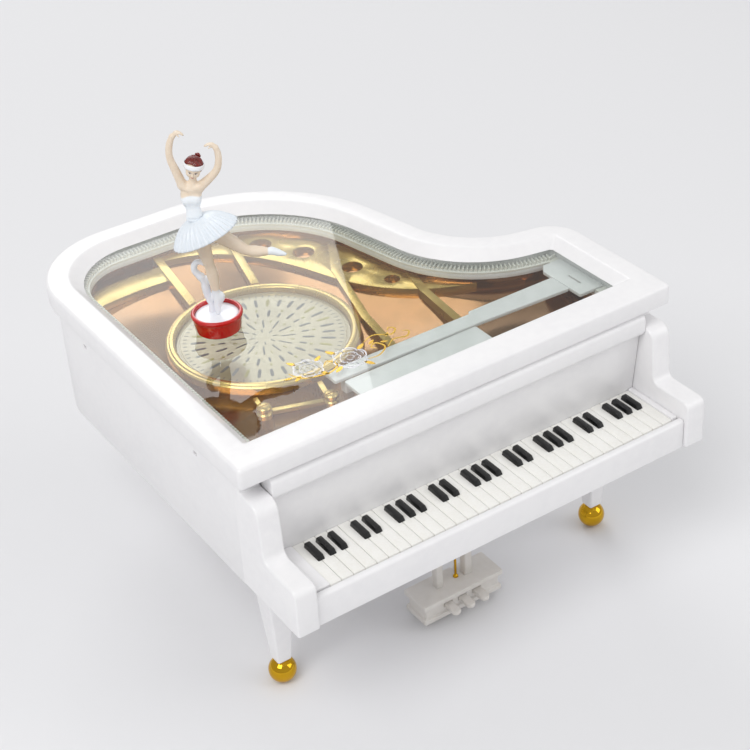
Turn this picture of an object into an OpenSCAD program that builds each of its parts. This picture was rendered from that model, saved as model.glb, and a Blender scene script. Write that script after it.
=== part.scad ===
// Wind-up musical grand piano with a dancer that circles on its clear cover.
// X runs from bass to treble, Y from the keyboard to the tail, Z up from the floor.

/* [Case and lid] */
// Width of the lid
lid_w = 170; // [150:1:200]
// Depth of the lid, from its front edge to the tail
lid_d = 161.5; // [145:0.5:190]
// Thickness of the lid frame
lid_t = 7.4; // [6:0.1:9]
// Height of the case walls
case_h = 44.3; // [44:0.1:56]
// Thickness of the case walls
wall_t = 2.4; // [1.6:0.1:3.5]
// How far the lid overhangs the walls
lid_overhang = 2.6; // [1.5:0.1:4]
// Straight length of the treble side
treble_side = 58.8; // [50:0.1:70]
// Distance of the bent side's waist from the bass side
waist_x = 131.4; // [120:0.1:140]
// Distance of the bent side's waist from the lid front
waist_y = 66.5; // [62:0.1:80]
// Distance of the tail corner from the bass side
tail_x = 112.4; // [100:0.1:118]
// Flat width of the lid rim
rim_w = 8.5; // [6:0.1:10]
// Extra rim width along the lid front
front_rim = 3; // [0:0.1:6]
// Width and depth of the sloped inner edge of the rim
rim_bevel = 3.5; // [2:0.1:4]
// Thickness of the clear cover
cover_t = 1.6; // [1:0.1:2]

/* [Keyboard] */
// How far the cheeks reach in front of the lid
cheek_reach = 22.2; // [18:0.1:28]
// Thickness of the cheeks
cheek_t = 7.8; // [5:0.1:10]
// Number of white keys
white_count = 32; // [18:1:36]
// Width taken by one white key
key_pitch = 4.36; // [3.6:0.01:4.4]
// Gap between white keys
key_gap = 0.2; // [0.1:0.05:0.4]
// Width of a black key
black_w = 2.5; // [1.8:0.1:3]
// Length of a black key
black_len = 9; // [7:0.1:12]
// Height of a black key above the white keys
black_h = 1.6; // [1:0.1:2.5]
// Height of the white key tops above the case bottom
key_level = 10.5; // [8:0.1:13]
// Width of the treble key block
treble_block = 2.3; // [1:0.1:6]

/* [Legs and pedals] */
// Height of the case bottom above the floor
stand_h = 55.9; // [45:0.1:75]
// Diameter of the ball feet
ball_d = 9.8; // [8:0.1:13]
// Width of a leg at the top
leg_top = 11.8; // [9:0.1:14]
// Width of a leg at the foot
leg_foot = 5.4; // [4.8:0.1:8]
// Distance of the front legs from the lid's sides
leg_inset = 16.7; // [14:0.1:22]
// Height of the pedal box
pedal_box_h = 8.7; // [6:0.1:12]
// Width of the pedal box
pedal_box_w = 34.2; // [28:0.1:42]
// Space under the pedal box
pedal_clear = 3.4; // [2:0.1:6]

/* [Dial and dancer] */
// Distance of the dial's centre from the bass side
dial_x = 53.2; // [50:0.1:58]
// Distance of the dial's centre from the lid front
dial_y = 76.4; // [68:0.1:84]
// Outer radius of the dial ring
ring_r = 33.7; // [28:0.1:35]
// Width of the dial ring
ring_w = 3.4; // [2.5:0.1:5]
// Depth of the mirror floor below the lid top
floor_depth = 13.5; // [12:0.1:16]
// Radius of the dancer's path round the dial
orbit_r = 15.8; // [14:0.1:18]
// Where on the path the dancer stands, anticlockwise from the treble side
orbit_angle = 174; // [0:1:359]
// Radius of the dancer's stand at the top
puck_r = 8.8; // [7:0.1:9.5]
// Height of the dancer's stand
puck_h = 7; // [6:0.1:10]
// Height of the dancer from her foot to her raised hands
dancer_h = 68.4; // [55:0.1:80]

/* [Movement] */
// Radius of the spring barrel
barrel_r = 11.5; // [11:0.1:12.5]
// Height of the spring barrel
barrel_h = 8; // [7:0.1:9]
// Teeth of the crown wheel on the barrel
crown_teeth = 36; // [30:1:40]
// Teeth of the cylinder pinion
pinion_teeth = 20; // [18:1:22]
// Radius of the pinned cylinder
drum_r = 6.2; // [5.8:0.1:6.4]
// Length of the pinned cylinder
drum_len = 17.2; // [15:0.1:19]
// Number of notes
note_count = 18; // [12:1:22]
// Radius of the winding arbor
arbor_r = 2.2; // [1.8:0.1:2.6]
// Running clearance of a shaft in its bore
run_fit = 0.05; // [0.02:0.01:0.08]

/* [Hidden] */
$fn = 48;

// Heights above the floor
rim_z = stand_h + case_h;
lid_z = rim_z + lid_t;
cover_z = lid_z - rim_bevel;
cover_under = cover_z - cover_t;
floor_z = lid_z - floor_depth;
base_t = 2.2;
deck_z = stand_h + base_t;

// Corner radii of the lid outline
front_r = 1.5;
hip_r = 13.4;
waist_r = 34;
tail_r = 61.5;
bass_tail_r = 34;
arc_step = 5;
fit = 0.2;

// Insets of what nests inside the lid outline
cover_inset = rim_w + 2;
open_inset = rim_w + rim_bevel;
wall_inner = lid_overhang + wall_t;
strip_inner = open_inset + 2.8;
frame_t = 2;
frame_z = rim_z - frame_t;
tray_t = 1.5;
tray_inset = open_inset + 0.6;
ledge_t = 2;

// Keyboard
bed_front = -cheek_reach + 1.4;
key_z = stand_h + key_level;
key_t = 3.2;
key_front = bed_front + 3.6;
panel_y = 5.7;
keys_x1 = lid_w - lid_overhang - cheek_t - treble_block;
keys_x0 = keys_x1 - white_count * key_pitch;

// Movement, measured from the dial's centre
bed_t = 2.2;
barrel_z = deck_z + bed_t + 0.8;
barrel_top = barrel_z + barrel_h;
crown_out = barrel_r - 0.2;
crown_in = crown_out - 2.1;
crown_mid = (crown_out + crown_in) / 2;
tooth_pitch = 2 * PI * crown_mid / crown_teeth;
tooth_h = 0.9;
mesh_depth = 0.6;
pinion_r = pinion_teeth * tooth_pitch / (2 * PI);
addendum = 0.35;
drum_axis_z = barrel_top + tooth_h - mesh_depth + pinion_r + addendum;
drum_arbor_r = 0.8;
bearing_u = barrel_r + 0.8;
bearing_t = 1.2;
drum_u = bearing_u + bearing_t + 0.6;
wheel_u = drum_u + drum_len + 0.4;
wheel_t = 1.4;
wheel_teeth = 36;
gov_teeth = 9;
gov_module = 0.45;
wheel_r = wheel_teeth * gov_module / 2;
gov_pinion_r = gov_teeth * gov_module / 2;
gov_v = wheel_r + gov_pinion_r + 0.1;
outer_u = wheel_u + wheel_t + 0.6;
worm_wheel_u = outer_u + bearing_t + 0.6;
worm_wheel_r = 5;
worm_r = 1.4;
fly_u = worm_wheel_u + wheel_t / 2;
fly_v = gov_v + worm_wheel_r + worm_r + 0.2;
end_u = worm_wheel_u + wheel_t + 0.6;
bed_u0 = -barrel_r - 3;
bed_u1 = end_u + bearing_t + 1.2;
comb_reach = 13;
pin_h = 0.55;
comb_gap = 0.25;
bed_v0 = -(drum_r + pin_h + comb_gap + comb_reach + 6);
bed_v1 = fly_v + 6;
spindle_r = 1.5;
bridge_z = drum_axis_z + drum_r + pin_h + 0.8;
bridge_t = 1.6;
sun_teeth = 40;
planet_teeth = 20;
gear_t = 1.6;
sun_r = orbit_r * sun_teeth / (sun_teeth + planet_teeth);
planet_r = orbit_r - sun_r;
magnet_r = 6;
magnet_h = 1.7;
magnet_gap = 0.4;
magnet_z = floor_z - magnet_gap - magnet_h;
arm_t = 1.4;
arm_z = magnet_z - 0.3 - arm_t;
planet_z = arm_z - 0.3 - gear_t;
dial_t = 1.2;
dial_lip = 2.6;

leg_y = 19;
tail_leg = [58, 137];
lyre_y = 14.2;
puck_gap = 0.3;
puck_z = cover_z + puck_gap;
dial = [dial_x, dial_y];
puck = dial + orbit_r * [cos(orbit_angle), sin(orbit_angle)];
dancer_turn = -32;

// ---------- outline helpers ----------

function unit(v) = v / norm(v);

// Where two lines meet, each given by a point and a direction
function meet(p, u, q, v) = p + u * ((q - p).x * v.y - (q - p).y * v.x) / (u.x * v.y - u.y * v.x);

// A point list moved inwards, with its own distance for each edge
function inset(pts, d) = let(n = len(pts)) [
    for (i = [0:n - 1])
        let(a = pts[(i + n - 1) % n], b = pts[i], c = pts[(i + 1) % n],
            u = unit(b - a), v = unit(c - b), da = d[(i + n - 1) % n], db = d[i])
        meet(b + [-u.y, u.x] * da, u, b + [-v.y, v.x] * db, v)];

// One corner rounded to radius r
function corner(a, b, c, r) = let(
    u = unit(a - b), v = unit(c - b), half = acos(u * v) / 2, o = b + unit(u + v) * r / sin(half),
    s = b + u * r / tan(half) - o, e = b + v * r / tan(half) - o,
    a0 = atan2(s.y, s.x), turn = ((atan2(e.y, e.x) - a0 + 540) % 360) - 180,
    n = max(2, ceil(abs(90 - half) * 2 / arc_step)))
    [for (i = [0:n]) o + r * [cos(a0 + turn * i / n), sin(a0 + turn * i / n)]];

function rounded(pts, radii) = let(n = len(pts)) [
    for (i = [0:n - 1], p = corner(pts[(i + n - 1) % n], pts[i], pts[(i + 1) % n], radii[i])) p];

lid_corners = [[0, 0], [lid_w, 0], [lid_w, treble_side], [waist_x, waist_y], [tail_x, lid_d],
    [0, lid_d]];

// The lid outline moved inwards by d, and by front along its front edge
function outline(d, front) = rounded(inset(lid_corners, [front, d, d, d, d, d]),
    [max(front_r - d, 0.4), max(front_r - d, 0.4), max(hip_r - d, 0.4), waist_r + d,
        max(tail_r - d, 1), max(bass_tail_r - d, 1)]);

module slab(d, front, z, h) {
    translate([0, 0, z])
        linear_extrude(h)
            polygon(outline(d, front));
}

// Everything is drawn from the lid's front bass corner, then centred
module place() {
    translate([-lid_w / 2, (cheek_reach - lid_d) / 2, 0])
        children();
}

module at_dial() {
    place()
        translate([dial.x, dial.y, 0])
            children();
}

module at_puck() {
    place()
        translate([puck.x, puck.y, 0])
            children();
}

module box(x, y, z) {
    translate([x[0], y[0], z[0]])
        cube([x[1] - x[0], y[1] - y[0], z[1] - z[0]]);
}

// Lies along X, from 0 to len
module rod_x(r, len) {
    rotate([0, 90, 0])
        cylinder(r = r, h = len);
}

// ---------- case ----------

inner_x0 = lid_overhang + cheek_t;
inner_x1 = lid_w - inner_x0;
cheek_back = wall_inner + 6;
front_wall_y = 7;

// The S-shaped side of the keyboard, from its low arm up to the lid
module cheek(x) {
    front = -cheek_reach;
    step_z = lid_z - 13.7;
    arm_top = lid_z - 33.7;
    profile = rounded([[cheek_back, stand_h], [front, stand_h], [front, arm_top], [-4.6, arm_top],
        [-3.2, step_z], [front_wall_y, step_z], [front_wall_y, rim_z], [cheek_back, rim_z]],
        [0.3, 0.6, 2.6, 2.8, 4.4, 0.6, 0.4, 0.3]);
    translate([x, 0, 0])
        rotate([90, 0, 90])
            linear_extrude(cheek_t)
                polygon([for (i = [len(profile) - 1:-1:0]) profile[i]]);
}

// Room for the cheeks where they reach into the case
module cheek_roots(z0, z1) {
    for (x = [[-1, inner_x0 + fit], [inner_x1 - fit, lid_w + 1]])
        box(x, [front_wall_y - 1, cheek_back + fit], [z0, z1]);
}

boss_r = 3;
boss_pilot = 0.9;
boss_h = 12;
boss_at = [[wall_inner + 2.2, 34], [wall_inner + 2.2, 112], [lid_w - wall_inner - 2.2, 34],
    [waist_x - 11.6, 90], [46, lid_d - wall_inner - 2.2]];
slot_at = [34.2, 113.2];

module case_shell() {
    color("#efeef0")
        place() {
            difference() {
                union() {
                    difference() {
                        slab(lid_overhang, front_wall_y, stand_h, case_h);
                        slab(wall_inner, -9, stand_h - 1, case_h + 2);
                    }
                    intersection() {
                        difference() {
                            slab(lid_overhang + 0.5, 20, frame_z - ledge_t, ledge_t);
                            slab(wall_inner + 2.2, -9, frame_z - ledge_t - 1, ledge_t + 2);
                        }
                        box([0, lid_w], [20, lid_d], [stand_h, lid_z]);
                    }
                    cheek(lid_overhang);
                    cheek(lid_w - lid_overhang - cheek_t);
                    for (p = boss_at)
                        translate([p.x, p.y, deck_z])
                            cylinder(r = boss_r, h = boss_h);
                }
                for (p = boss_at)
                    translate([p.x, p.y, deck_z - 1])
                        cylinder(r = boss_pilot, h = boss_h);
                for (y = slot_at)
                    box([lid_overhang - 1, wall_inner + 0.1], [y - 1.1, y + 1.1],
                        [lid_z - 14.9, lid_z - 13.5]);
            }
        }
}

screw_head_r = 2.1;
screw_head_h = 1.1;

// A pan-head screw that points up from the origin
module screw_up(r, len) {
    translate([0, 0, -screw_head_h])
        difference() {
            cylinder(r = screw_head_r, h = screw_head_h);
            box([-1.4, 1.4], [-0.25, 0.25], [-0.1, 0.5]);
            box([-0.25, 0.25], [-1.4, 1.4], [-0.1, 0.5]);
        }
    cylinder(r = r, h = len);
}

module base_plate() {
    color("#e9e8ea")
        place()
            difference() {
                union() {
                    slab(wall_inner + fit, front_wall_y + fit, stand_h, base_t);
                    box([inner_x0 + fit, inner_x1 - fit], [bed_front + 3, 8], [stand_h, deck_z]);
                }
                cheek_roots(stand_h - 1, deck_z + 1);
                for (p = boss_at)
                    translate([p.x, p.y, stand_h - 1])
                        cylinder(r = boss_pilot + 0.2, h = base_t + 2);
                for (p = leg_at)
                    translate([p.x, p.y, stand_h - 1])
                        cylinder(r = leg_screw_r + run_fit, h = base_t + 2);
                translate([dial.x, dial.y, stand_h - 1])
                    cylinder(r = arbor_r + 2.5, h = base_t + 2);
                for (p = bed_screws)
                    translate([dial.x + p.x, dial.y + p.y, stand_h - 1])
                        cylinder(r = bed_screw_r + 0.2, h = base_t + 2);
            }
}

module base_screws() {
    color("#b9bbbe")
        place()
            for (p = boss_at)
                translate([p.x, p.y, stand_h])
                    screw_up(boss_pilot - run_fit, base_t + boss_h - 4);
}

// ---------- keyboard ----------

module keybed() {
    slip_top = key_z + 0.8;
    color("#efeef0")
        place() {
            translate([inner_x0 + fit, 0, 0])
                rotate([90, 0, 90])
                    linear_extrude(inner_x1 - inner_x0 - 2 * fit)
                        polygon(rounded([[bed_front, stand_h], [bed_front + 2.8, stand_h],
                            [bed_front + 2.8, slip_top], [bed_front, slip_top]],
                            [0.3, 0.3, 1.2, 1.2]));
            box([inner_x0 + fit, inner_x1 - fit], [bed_front + 2, panel_y + 2],
                [key_z - key_t - 2, key_z - key_t]);
            for (x = [inner_x0 + fit, lid_w / 2 - 1, inner_x1 - fit - 2])
                box([x, x + 2], [bed_front + 3.2, panel_y], [deck_z, key_z - key_t - 1]);
        }
}

module white_keys() {
    color("#f6f5f0")
        place()
            for (i = [0:white_count - 1])
                translate([keys_x0 + i * key_pitch + key_gap / 2, 0, key_z - key_t])
                    rotate([90, 0, 90])
                        linear_extrude(key_pitch - key_gap)
                            polygon(rounded([[key_front, 0], [panel_y - fit, 0],
                                [panel_y - fit, key_t], [key_front, key_t]],
                                [0.2, 0.2, 0.2, 0.5]));
}

// True where a black key stands after white key i; the lowest white key is an F
function black_after(i) = let(step = (i + 3) % 7) step != 2 && step != 6;

module black_keys() {
    color("#141414")
        place()
            for (i = [0:white_count - 2])
                if (black_after(i))
                    translate([keys_x0 + (i + 1) * key_pitch - black_w / 2, 0, key_z])
                        rotate([90, 0, 90])
                            linear_extrude(black_w)
                                polygon([[panel_y - 2.5 - black_len, 0], [panel_y - 2.5, 0],
                                    [panel_y - 2.5, black_h], [panel_y - 1.7 - black_len, black_h]]);
}

module key_blocks() {
    color("#f3f2f0")
        place() {
            box([inner_x0 + fit, keys_x0], [key_front, panel_y - fit], [key_z - key_t, key_z + 0.6]);
            box([keys_x1, inner_x1 - fit], [key_front, panel_y - fit], [key_z - key_t, key_z + 0.6]);
        }
}

nosing_z = lid_z - 9.6;
nosing_h = 7;

module fallboard() {
    top = nosing_z - nosing_h;
    color("#ecebec")
        place()
            translate([inner_x0 + fit, 0, 0])
                rotate([90, 0, 90])
                    linear_extrude(inner_x1 - inner_x0 - 2 * fit)
                        polygon([[panel_y, key_z - key_t], [panel_y + 2, key_z - key_t],
                            [panel_y + 2, top], [3, top], [panel_y, key_z + 1]]);
}

module nosing() {
    color("#efeef0")
        place()
            translate([inner_x0 + fit, 0, 0])
                rotate([90, 0, 90])
                    linear_extrude(inner_x1 - inner_x0 - 2 * fit)
                        polygon(rounded([[0.2, nosing_z - nosing_h], [7.6, nosing_z - nosing_h],
                            [7.6, rim_z], [3, rim_z], [0.2, nosing_z]],
                            [2.2, 0.3, 0.3, 0.4, 2]));
}

// ---------- lid ----------

// A prism between two outlines with the same number of points
module loft(low, high, z0, z1) {
    n = len(low);
    polyhedron(
        [for (p = low) [p.x, p.y, z0], for (p = high) [p.x, p.y, z1]],
        [[for (i = [0:n - 1]) i], [for (i = [n - 1:-1:0]) n + i],
            for (i = [0:n - 1]) [(i + 1) % n, i, n + i, n + (i + 1) % n]]);
}

function open_corners(d, front) = inset(lid_corners, [front, d, d, d, d, d]);
open_radii = [1, 1, 1.6, waist_r + rim_w, tail_r - rim_w, bass_tail_r - rim_w];

module lid_frame() {
    e = 0.01;
    k = (rim_bevel + 1) / rim_bevel;
    high = rounded(open_corners(open_inset - k * rim_bevel, open_inset + front_rim - k * rim_bevel),
        open_radii);
    low = rounded(open_corners(open_inset, open_inset + front_rim), open_radii);
    color("#efeef0")
        place()
            difference() {
                slab(0, 0, rim_z, lid_t);
                loft(low, high, cover_z, lid_z + 1);
                slab(cover_inset - fit, cover_inset + front_rim - fit, rim_z - 1, cover_z - rim_z + 1);
                translate([0, 0, rim_z])
                    linear_extrude(lid_t - rim_bevel + e)
                        polygon(low);
            }
}

module clear_cover() {
    color("#dfe6ea", 0.35)
        place()
            slab(cover_inset, cover_inset + front_rim, cover_under, cover_t);
}

// ---------- inside, under the cover ----------

rib_t = 0.8;

module inner_frame() {
    color("#efeef0")
        place()
            difference() {
                slab(wall_inner + fit, 8, frame_z, frame_t);
                slab(strip_inner, cover_inset + front_rim + 1.5, frame_z - 1, frame_t + 2);
                cheek_roots(frame_z - 1, rim_z + 1);
            }
}

module rib_strip() {
    color("#f1efe9")
        place()
            difference() {
                slab(cover_inset + 0.3, cover_inset + front_rim + 0.3, rim_z, rib_t);
                slab(strip_inner, 10, rim_z - 1, rib_t + 2);
                box([0, lid_w], [0, cover_inset + front_rim + 1.5], [rim_z - 1, lid_z]);
                box([rail_x1, lid_w], [bracket_y0 - fit, bracket_y1 + fit], [rim_z - 1, lid_z]);
            }
}

rail_y0 = 30;
rail_y1 = 36.4;
rail_x0 = 53;
rail_x1 = lid_w - 21.6;
rail_t = 1.4;
rail_z = rim_z;
rail_post_x = [rail_x0 + 6, rail_x0 + 39];
tab_x0 = 55.3;
tab_x1 = 108.4;
tab_y1 = rail_y0 - 1.8;
bracket_x1 = lid_w - cover_inset - 0.6;
bracket_y0 = 21.8;
bracket_y1 = 45.4;

module belly_rail() {
    color("#efeef0")
        place() {
            translate([0, 0, rail_z])
                linear_extrude(rail_t)
                    polygon([[rail_x0, rail_y0], [111, rail_y0 - 0.8], [rail_x1, rail_y0 - 2.6],
                        [rail_x1, rail_y1 + 0.6], [112, rail_y1 + 0.8], [111, rail_y1 - 0.6],
                        [rail_x0, rail_y1]]);
            for (x = rail_post_x)
                box([x - 1.5, x + 1.5], [rail_y0 + 1, rail_y1 - 2], [floor_z, rail_z]);
        }
}

module rail_bracket() {
    color("#efeef0")
        place()
            difference() {
                translate([0, 0, rail_z])
                    linear_extrude(rail_t)
                        polygon([[rail_x1, bracket_y0], [bracket_x1, bracket_y0],
                            [bracket_x1, bracket_y1], [rail_x1 + 2.8, bracket_y1],
                            [rail_x1, bracket_y1 - 3.4]]);
                box([rail_x1 + 4.7, rail_x1 + 5.6], [27.5, 34.4], [rail_z - 1, lid_z]);
            }
}

module shelf_tab() {
    color("#efeef0")
        place()
            box([tab_x0, tab_x1], [cover_inset + front_rim + 0.4, tab_y1], [rim_z, rim_z + rail_t]);
}

module mirror_tray() {
    front = cover_inset + front_rim - 1;
    color("#a57b50")
        place()
            difference() {
                union() {
                    slab(tray_inset, front, floor_z - tray_t, tray_t);
                    difference() {
                        slab(tray_inset, front, floor_z, frame_z - floor_z);
                        slab(tray_inset + 1.4, front + 1.4, floor_z - 1, frame_z - floor_z + 2);
                    }
                }
                translate([dial.x, dial.y, floor_z - tray_t - 1])
                    cylinder(r = ring_r - ring_w - dial_lip, h = tray_t + 2, $fn = 96);
            }
}

harp_h = 2.5;
strut_h = 3.1;
strut_w = 3;

module strut(a, b) {
    u = unit(b - a) * strut_w / 2;
    n = [-u.y, u.x];
    translate([0, 0, floor_z])
        linear_extrude(strut_h)
            polygon([a + n, a - n, b - n, b + n]);
}

hole_at = [[84.8, 131.3, 4.2], [94.2, 115.8, 4.1], [102.3, 95.1, 3.9], [108.8, 78.8, 2.9]];

// The plate's free edge sweeps from the tail round to a point at the treble
function sweep_edge(p0, p1, p2, n) = [
    for (i = [0:n]) let(t = i / n) (1 - t) ^ 2 * p0 + 2 * t * (1 - t) * p1 + t ^ 2 * p2];

module harp_plate() {
    inner = tray_inset + 1.6;
    color("#d9be78")
        place()
            difference() {
                union() {
                    intersection() {
                        slab(inner, 20, floor_z, harp_h);
                        translate([0, 0, floor_z])
                            linear_extrude(harp_h)
                                polygon(concat(sweep_edge([49, 143.5], [76, 141], [91, 98], 12),
                                    sweep_edge([91, 98], [103, 61], [143, 54.5], 12),
                                    [[170, 54], [170, 170], [47.5, 170]]));
                    }
                    intersection() {
                        slab(inner, 20, floor_z, harp_h);
                        translate([0, 0, floor_z])
                            linear_extrude(harp_h)
                                polygon(concat(sweep_edge([5, 126], [26, 132], [46, 129.5], 6),
                                    [[48.5, 140.5]],
                                    sweep_edge([48.5, 140.5], [30, 143], [5, 137], 6)));
                    }
                    intersection() {
                        slab(inner, 20, floor_z, strut_h);
                        union() {
                            strut([50.5, 158], [42.6, 102.4]);
                            strut([80.6, 156], [66, 98.5]);
                            strut([108.6, 119.5], [95.6, 96]);
                            strut([96.1, 97], [86.4, 62]);
                            strut([86.8, 63.6], [83, 39.4]);
                            strut([117.7, 84], [112.6, 64]);
                            strut([112.9, 65], [110.4, 40]);
                        }
                    }
                }
                for (h = hole_at)
                    translate([h.x, h.y, floor_z - 1])
                        cylinder(r = h.z, h = harp_h + 2);
                translate([dial.x, dial.y, floor_z - 1])
                    cylinder(r = ring_r + 0.3, h = strut_h + 2, $fn = 96);
                box([0, lid_w], [0, rail_y1 + 2.4], [floor_z - 1, floor_z + strut_h + 1]);
            }
}

ring_h = 3.5;

module dial_ring() {
    color("#e0c070")
        at_dial()
            translate([0, 0, floor_z])
                rotate_extrude($fn = 96)
                    polygon([[ring_r - ring_w, 0], [ring_r, 0], [ring_r, ring_h - 0.9],
                        [ring_r - 0.4, ring_h - 0.4], [ring_r - 1.1, ring_h - 0.3],
                        [ring_r - 1.4, ring_h], [ring_r - ring_w + 0.4, ring_h],
                        [ring_r - ring_w, ring_h - 0.4]]);
}

module dial_disc() {
    color("#b5a88c")
        at_dial()
            translate([0, 0, floor_z])
                cylinder(r = ring_r - ring_w - fit, h = dial_t, $fn = 96);
}

boss_gilt = [[29.9, 36.8], [50.9, 29.5]];

module gilt_bosses() {
    color("#e0c070")
        place()
            for (p = boss_gilt)
                translate([p.x, p.y, floor_z])
                    rotate_extrude()
                        polygon([[0, 0], [2.5, 0], [2.5, 1.6], [1.8, 2], [1.8, 2.4], [2.5, 2.8],
                            [2.5, 3.9], [1.9, 4.3], [0, 4.3]]);
}

module gilt_bars() {
    color("#d9be78")
        place()
            difference() {
                translate([0, 0, floor_z])
                    linear_extrude(1.6)
                        union() {
                            polygon([[29.2, 37.5], [31, 37.5], [32.6, 46], [30.8, 46]]);
                            polygon([[49.8, 30.5], [51.8, 30.5], [54.4, 41], [52.4, 41]]);
                            polygon([[30, 36.5], [30.6, 38.5], [51, 31.2], [50.4, 29.2]]);
                        }
                for (p = boss_gilt)
                    translate([p.x, p.y, floor_z - 1])
                        cylinder(r = 2.5 + 0.1, h = 6);
                translate([dial.x, dial.y, floor_z - 1])
                    cylinder(r = ring_r + 0.3, h = 6, $fn = 96);
                for (x = rail_post_x)
                    box([x - 2, x + 2], [rail_y0, rail_y1], [floor_z - 1, rail_z]);
            }
}

// ---------- legs and pedals ----------

leg_at = [[leg_inset, leg_y], [lid_w - leg_inset, leg_y], tail_leg];
foot_flat = 0.15;
leg_z = ball_d - 0.6;
leg_screw_r = 1.2;
leg_screw_len = 12;
neck_r = 1.5;
neck_len = 5;

module leg(p) {
    color("#efeef0")
        place()
            translate([p.x, p.y, 0])
                difference() {
                    intersection_for(turn = [0, 90])
                        rotate([0, 0, turn])
                            rotate([90, 0, 0])
                                translate([0, 0, -leg_top])
                                    linear_extrude(2 * leg_top)
                                        polygon([[-leg_foot / 2 + 0.7, leg_z],
                                            [leg_foot / 2 - 0.7, leg_z],
                                            [leg_foot / 2, leg_z + 1], [leg_top / 2, stand_h],
                                            [-leg_top / 2, stand_h], [-leg_foot / 2, leg_z + 1]]);
                    translate([0, 0, leg_z - 1])
                        cylinder(r = neck_r + run_fit, h = neck_len + 1.6);
                    translate([0, 0, stand_h - leg_screw_len])
                        cylinder(r = leg_screw_r + run_fit, h = leg_screw_len + 1);
                }
}

module foot(p) {
    color("#c8a818")
        place()
            translate([p.x, p.y, 0]) {
                intersection() {
                    translate([0, 0, ball_d / 2 - foot_flat])
                        sphere(d = ball_d);
                    cylinder(r = ball_d, h = leg_z);
                }
                translate([0, 0, ball_d / 2])
                    cylinder(r = neck_r, h = leg_z - ball_d / 2 + neck_len);
            }
}

module leg_bass() { leg(leg_at[0]); }
module leg_treble() { leg(leg_at[1]); }
module leg_tail() { leg(leg_at[2]); }
module foot_bass() { foot(leg_at[0]); }
module foot_treble() { foot(leg_at[1]); }
module foot_tail() { foot(leg_at[2]); }

module leg_screws() {
    color("#b9bbbe")
        place()
            for (p = leg_at)
                translate([p.x, p.y, deck_z])
                    mirror([0, 0, 1])
                        screw_up(leg_screw_r, base_t + leg_screw_len - 1);
}

lyre_x = lid_w / 2;
post_x = [lyre_x - 7.6, lyre_x + 4.6];
post_w = [2.8, 3.2];
post_t = 3.4;
rod_r = 0.5;
box_top = pedal_clear + pedal_box_h;

module lyre_posts() {
    color("#e6e3df")
        place()
            for (i = [0, 1])
                box([post_x[i], post_x[i] + post_w[i]], [lyre_y - post_t / 2, lyre_y + post_t / 2],
                    [box_top, stand_h]);
}

module lyre_rod() {
    color("#c9a227")
        place()
            translate([lyre_x + 1.6, lyre_y, box_top])
                cylinder(r = rod_r, h = stand_h - box_top, $fn = 24);
}

lip = 1.2;
plinth_in = 0.4;
box_y0 = 6.9;
box_y1 = 19.7;
pedal_w = 3.4;
pedal_pitch = 6.2;
pedal_h = 1.6;
pedal_reach = 3.4;
pedal_root = 5;

module pedal_box() {
    x0 = lyre_x - pedal_box_w / 2;
    x1 = lyre_x + pedal_box_w / 2;
    mid = pedal_clear + pedal_box_h / 2;
    color("#d8d4ce")
        place()
            difference() {
                union() {
                    box([x0 + lip, x1 - lip], [box_y0 + lip, box_y1 - lip],
                        [pedal_clear + 1, box_top - 1]);
                    box([x0, x1], [box_y0, box_y1], [box_top - 2, box_top]);
                    box([x0 + plinth_in, x1 - plinth_in], [box_y0 + plinth_in, box_y1 - plinth_in],
                        [pedal_clear, pedal_clear + 2]);
                }
                for (i = [-1:1])
                    box([lyre_x + i * pedal_pitch - pedal_w / 2 - fit,
                        lyre_x + i * pedal_pitch + pedal_w / 2 + fit],
                        [box_y0 - 1, box_y0 + pedal_root],
                        [mid - pedal_h / 2 - fit, mid + pedal_h / 2 + fit]);
            }
}

module pedals() {
    mid = pedal_clear + pedal_box_h / 2;
    color("#d8d4ce")
        place()
            for (i = [-1:1])
                translate([lyre_x + i * pedal_pitch, 0, mid - pedal_h / 2]) {
                    box([-pedal_w / 2, pedal_w / 2], [box_y0 - pedal_reach, box_y0 + pedal_root],
                        [0, pedal_h]);
                    translate([0, box_y0 - pedal_reach, 0])
                        cylinder(r = pedal_w / 2, h = pedal_h, $fn = 32);
                }
}

// ---------- movement ----------

bed_screw_r = 1;
bed_screws = [[bed_u0 + 3, bed_v0 + 4], [bed_u1 - 4, bed_v0 + 4], [bed_u0 + 3, bed_v1 - 4]];
pillar_at = [[bed_u0 + 3.6, -11.5], [bed_u0 + 3.6, 11.5], (barrel_r + 4) * [cos(57), sin(57)]];
pillar_r = 1.8;
bed_z = deck_z + bed_t;

// A toothed wheel with its first tooth on +X; tip and root are measured from the pitch radius
module gear(n, r, h, tip, root) {
    arc = 360 / n;
    linear_extrude(h)
        polygon([for (i = [0:n - 1], c = [[-0.21, -root], [-0.11, tip], [0.11, tip], [0.21, -root]])
            (r + c.y) * [cos((i + c.x) * arc), sin((i + c.x) * arc)]]);
}

module bedplate() {
    color("#b9bbbe")
        at_dial()
            difference() {
                translate([0, 0, deck_z])
                    linear_extrude(bed_t)
                        polygon(rounded([[bed_u0, bed_v0], [bed_u1, bed_v0], [bed_u1, bed_v1],
                            [bed_u0, bed_v1]], [2, 2, 2, 2]));
                translate([0, 0, deck_z - 1])
                    cylinder(r = arbor_r + run_fit, h = bed_t + 2);
                for (p = bed_screws)
                    translate([p.x, p.y, deck_z - 1])
                        cylinder(r = bed_screw_r + run_fit, h = bed_t + 2);
                translate([fly_u, fly_v, bed_z - 1])
                    cylinder(r = fly_shaft_r + run_fit, h = 2);
            }
}

sun_column_r = 3;

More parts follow.
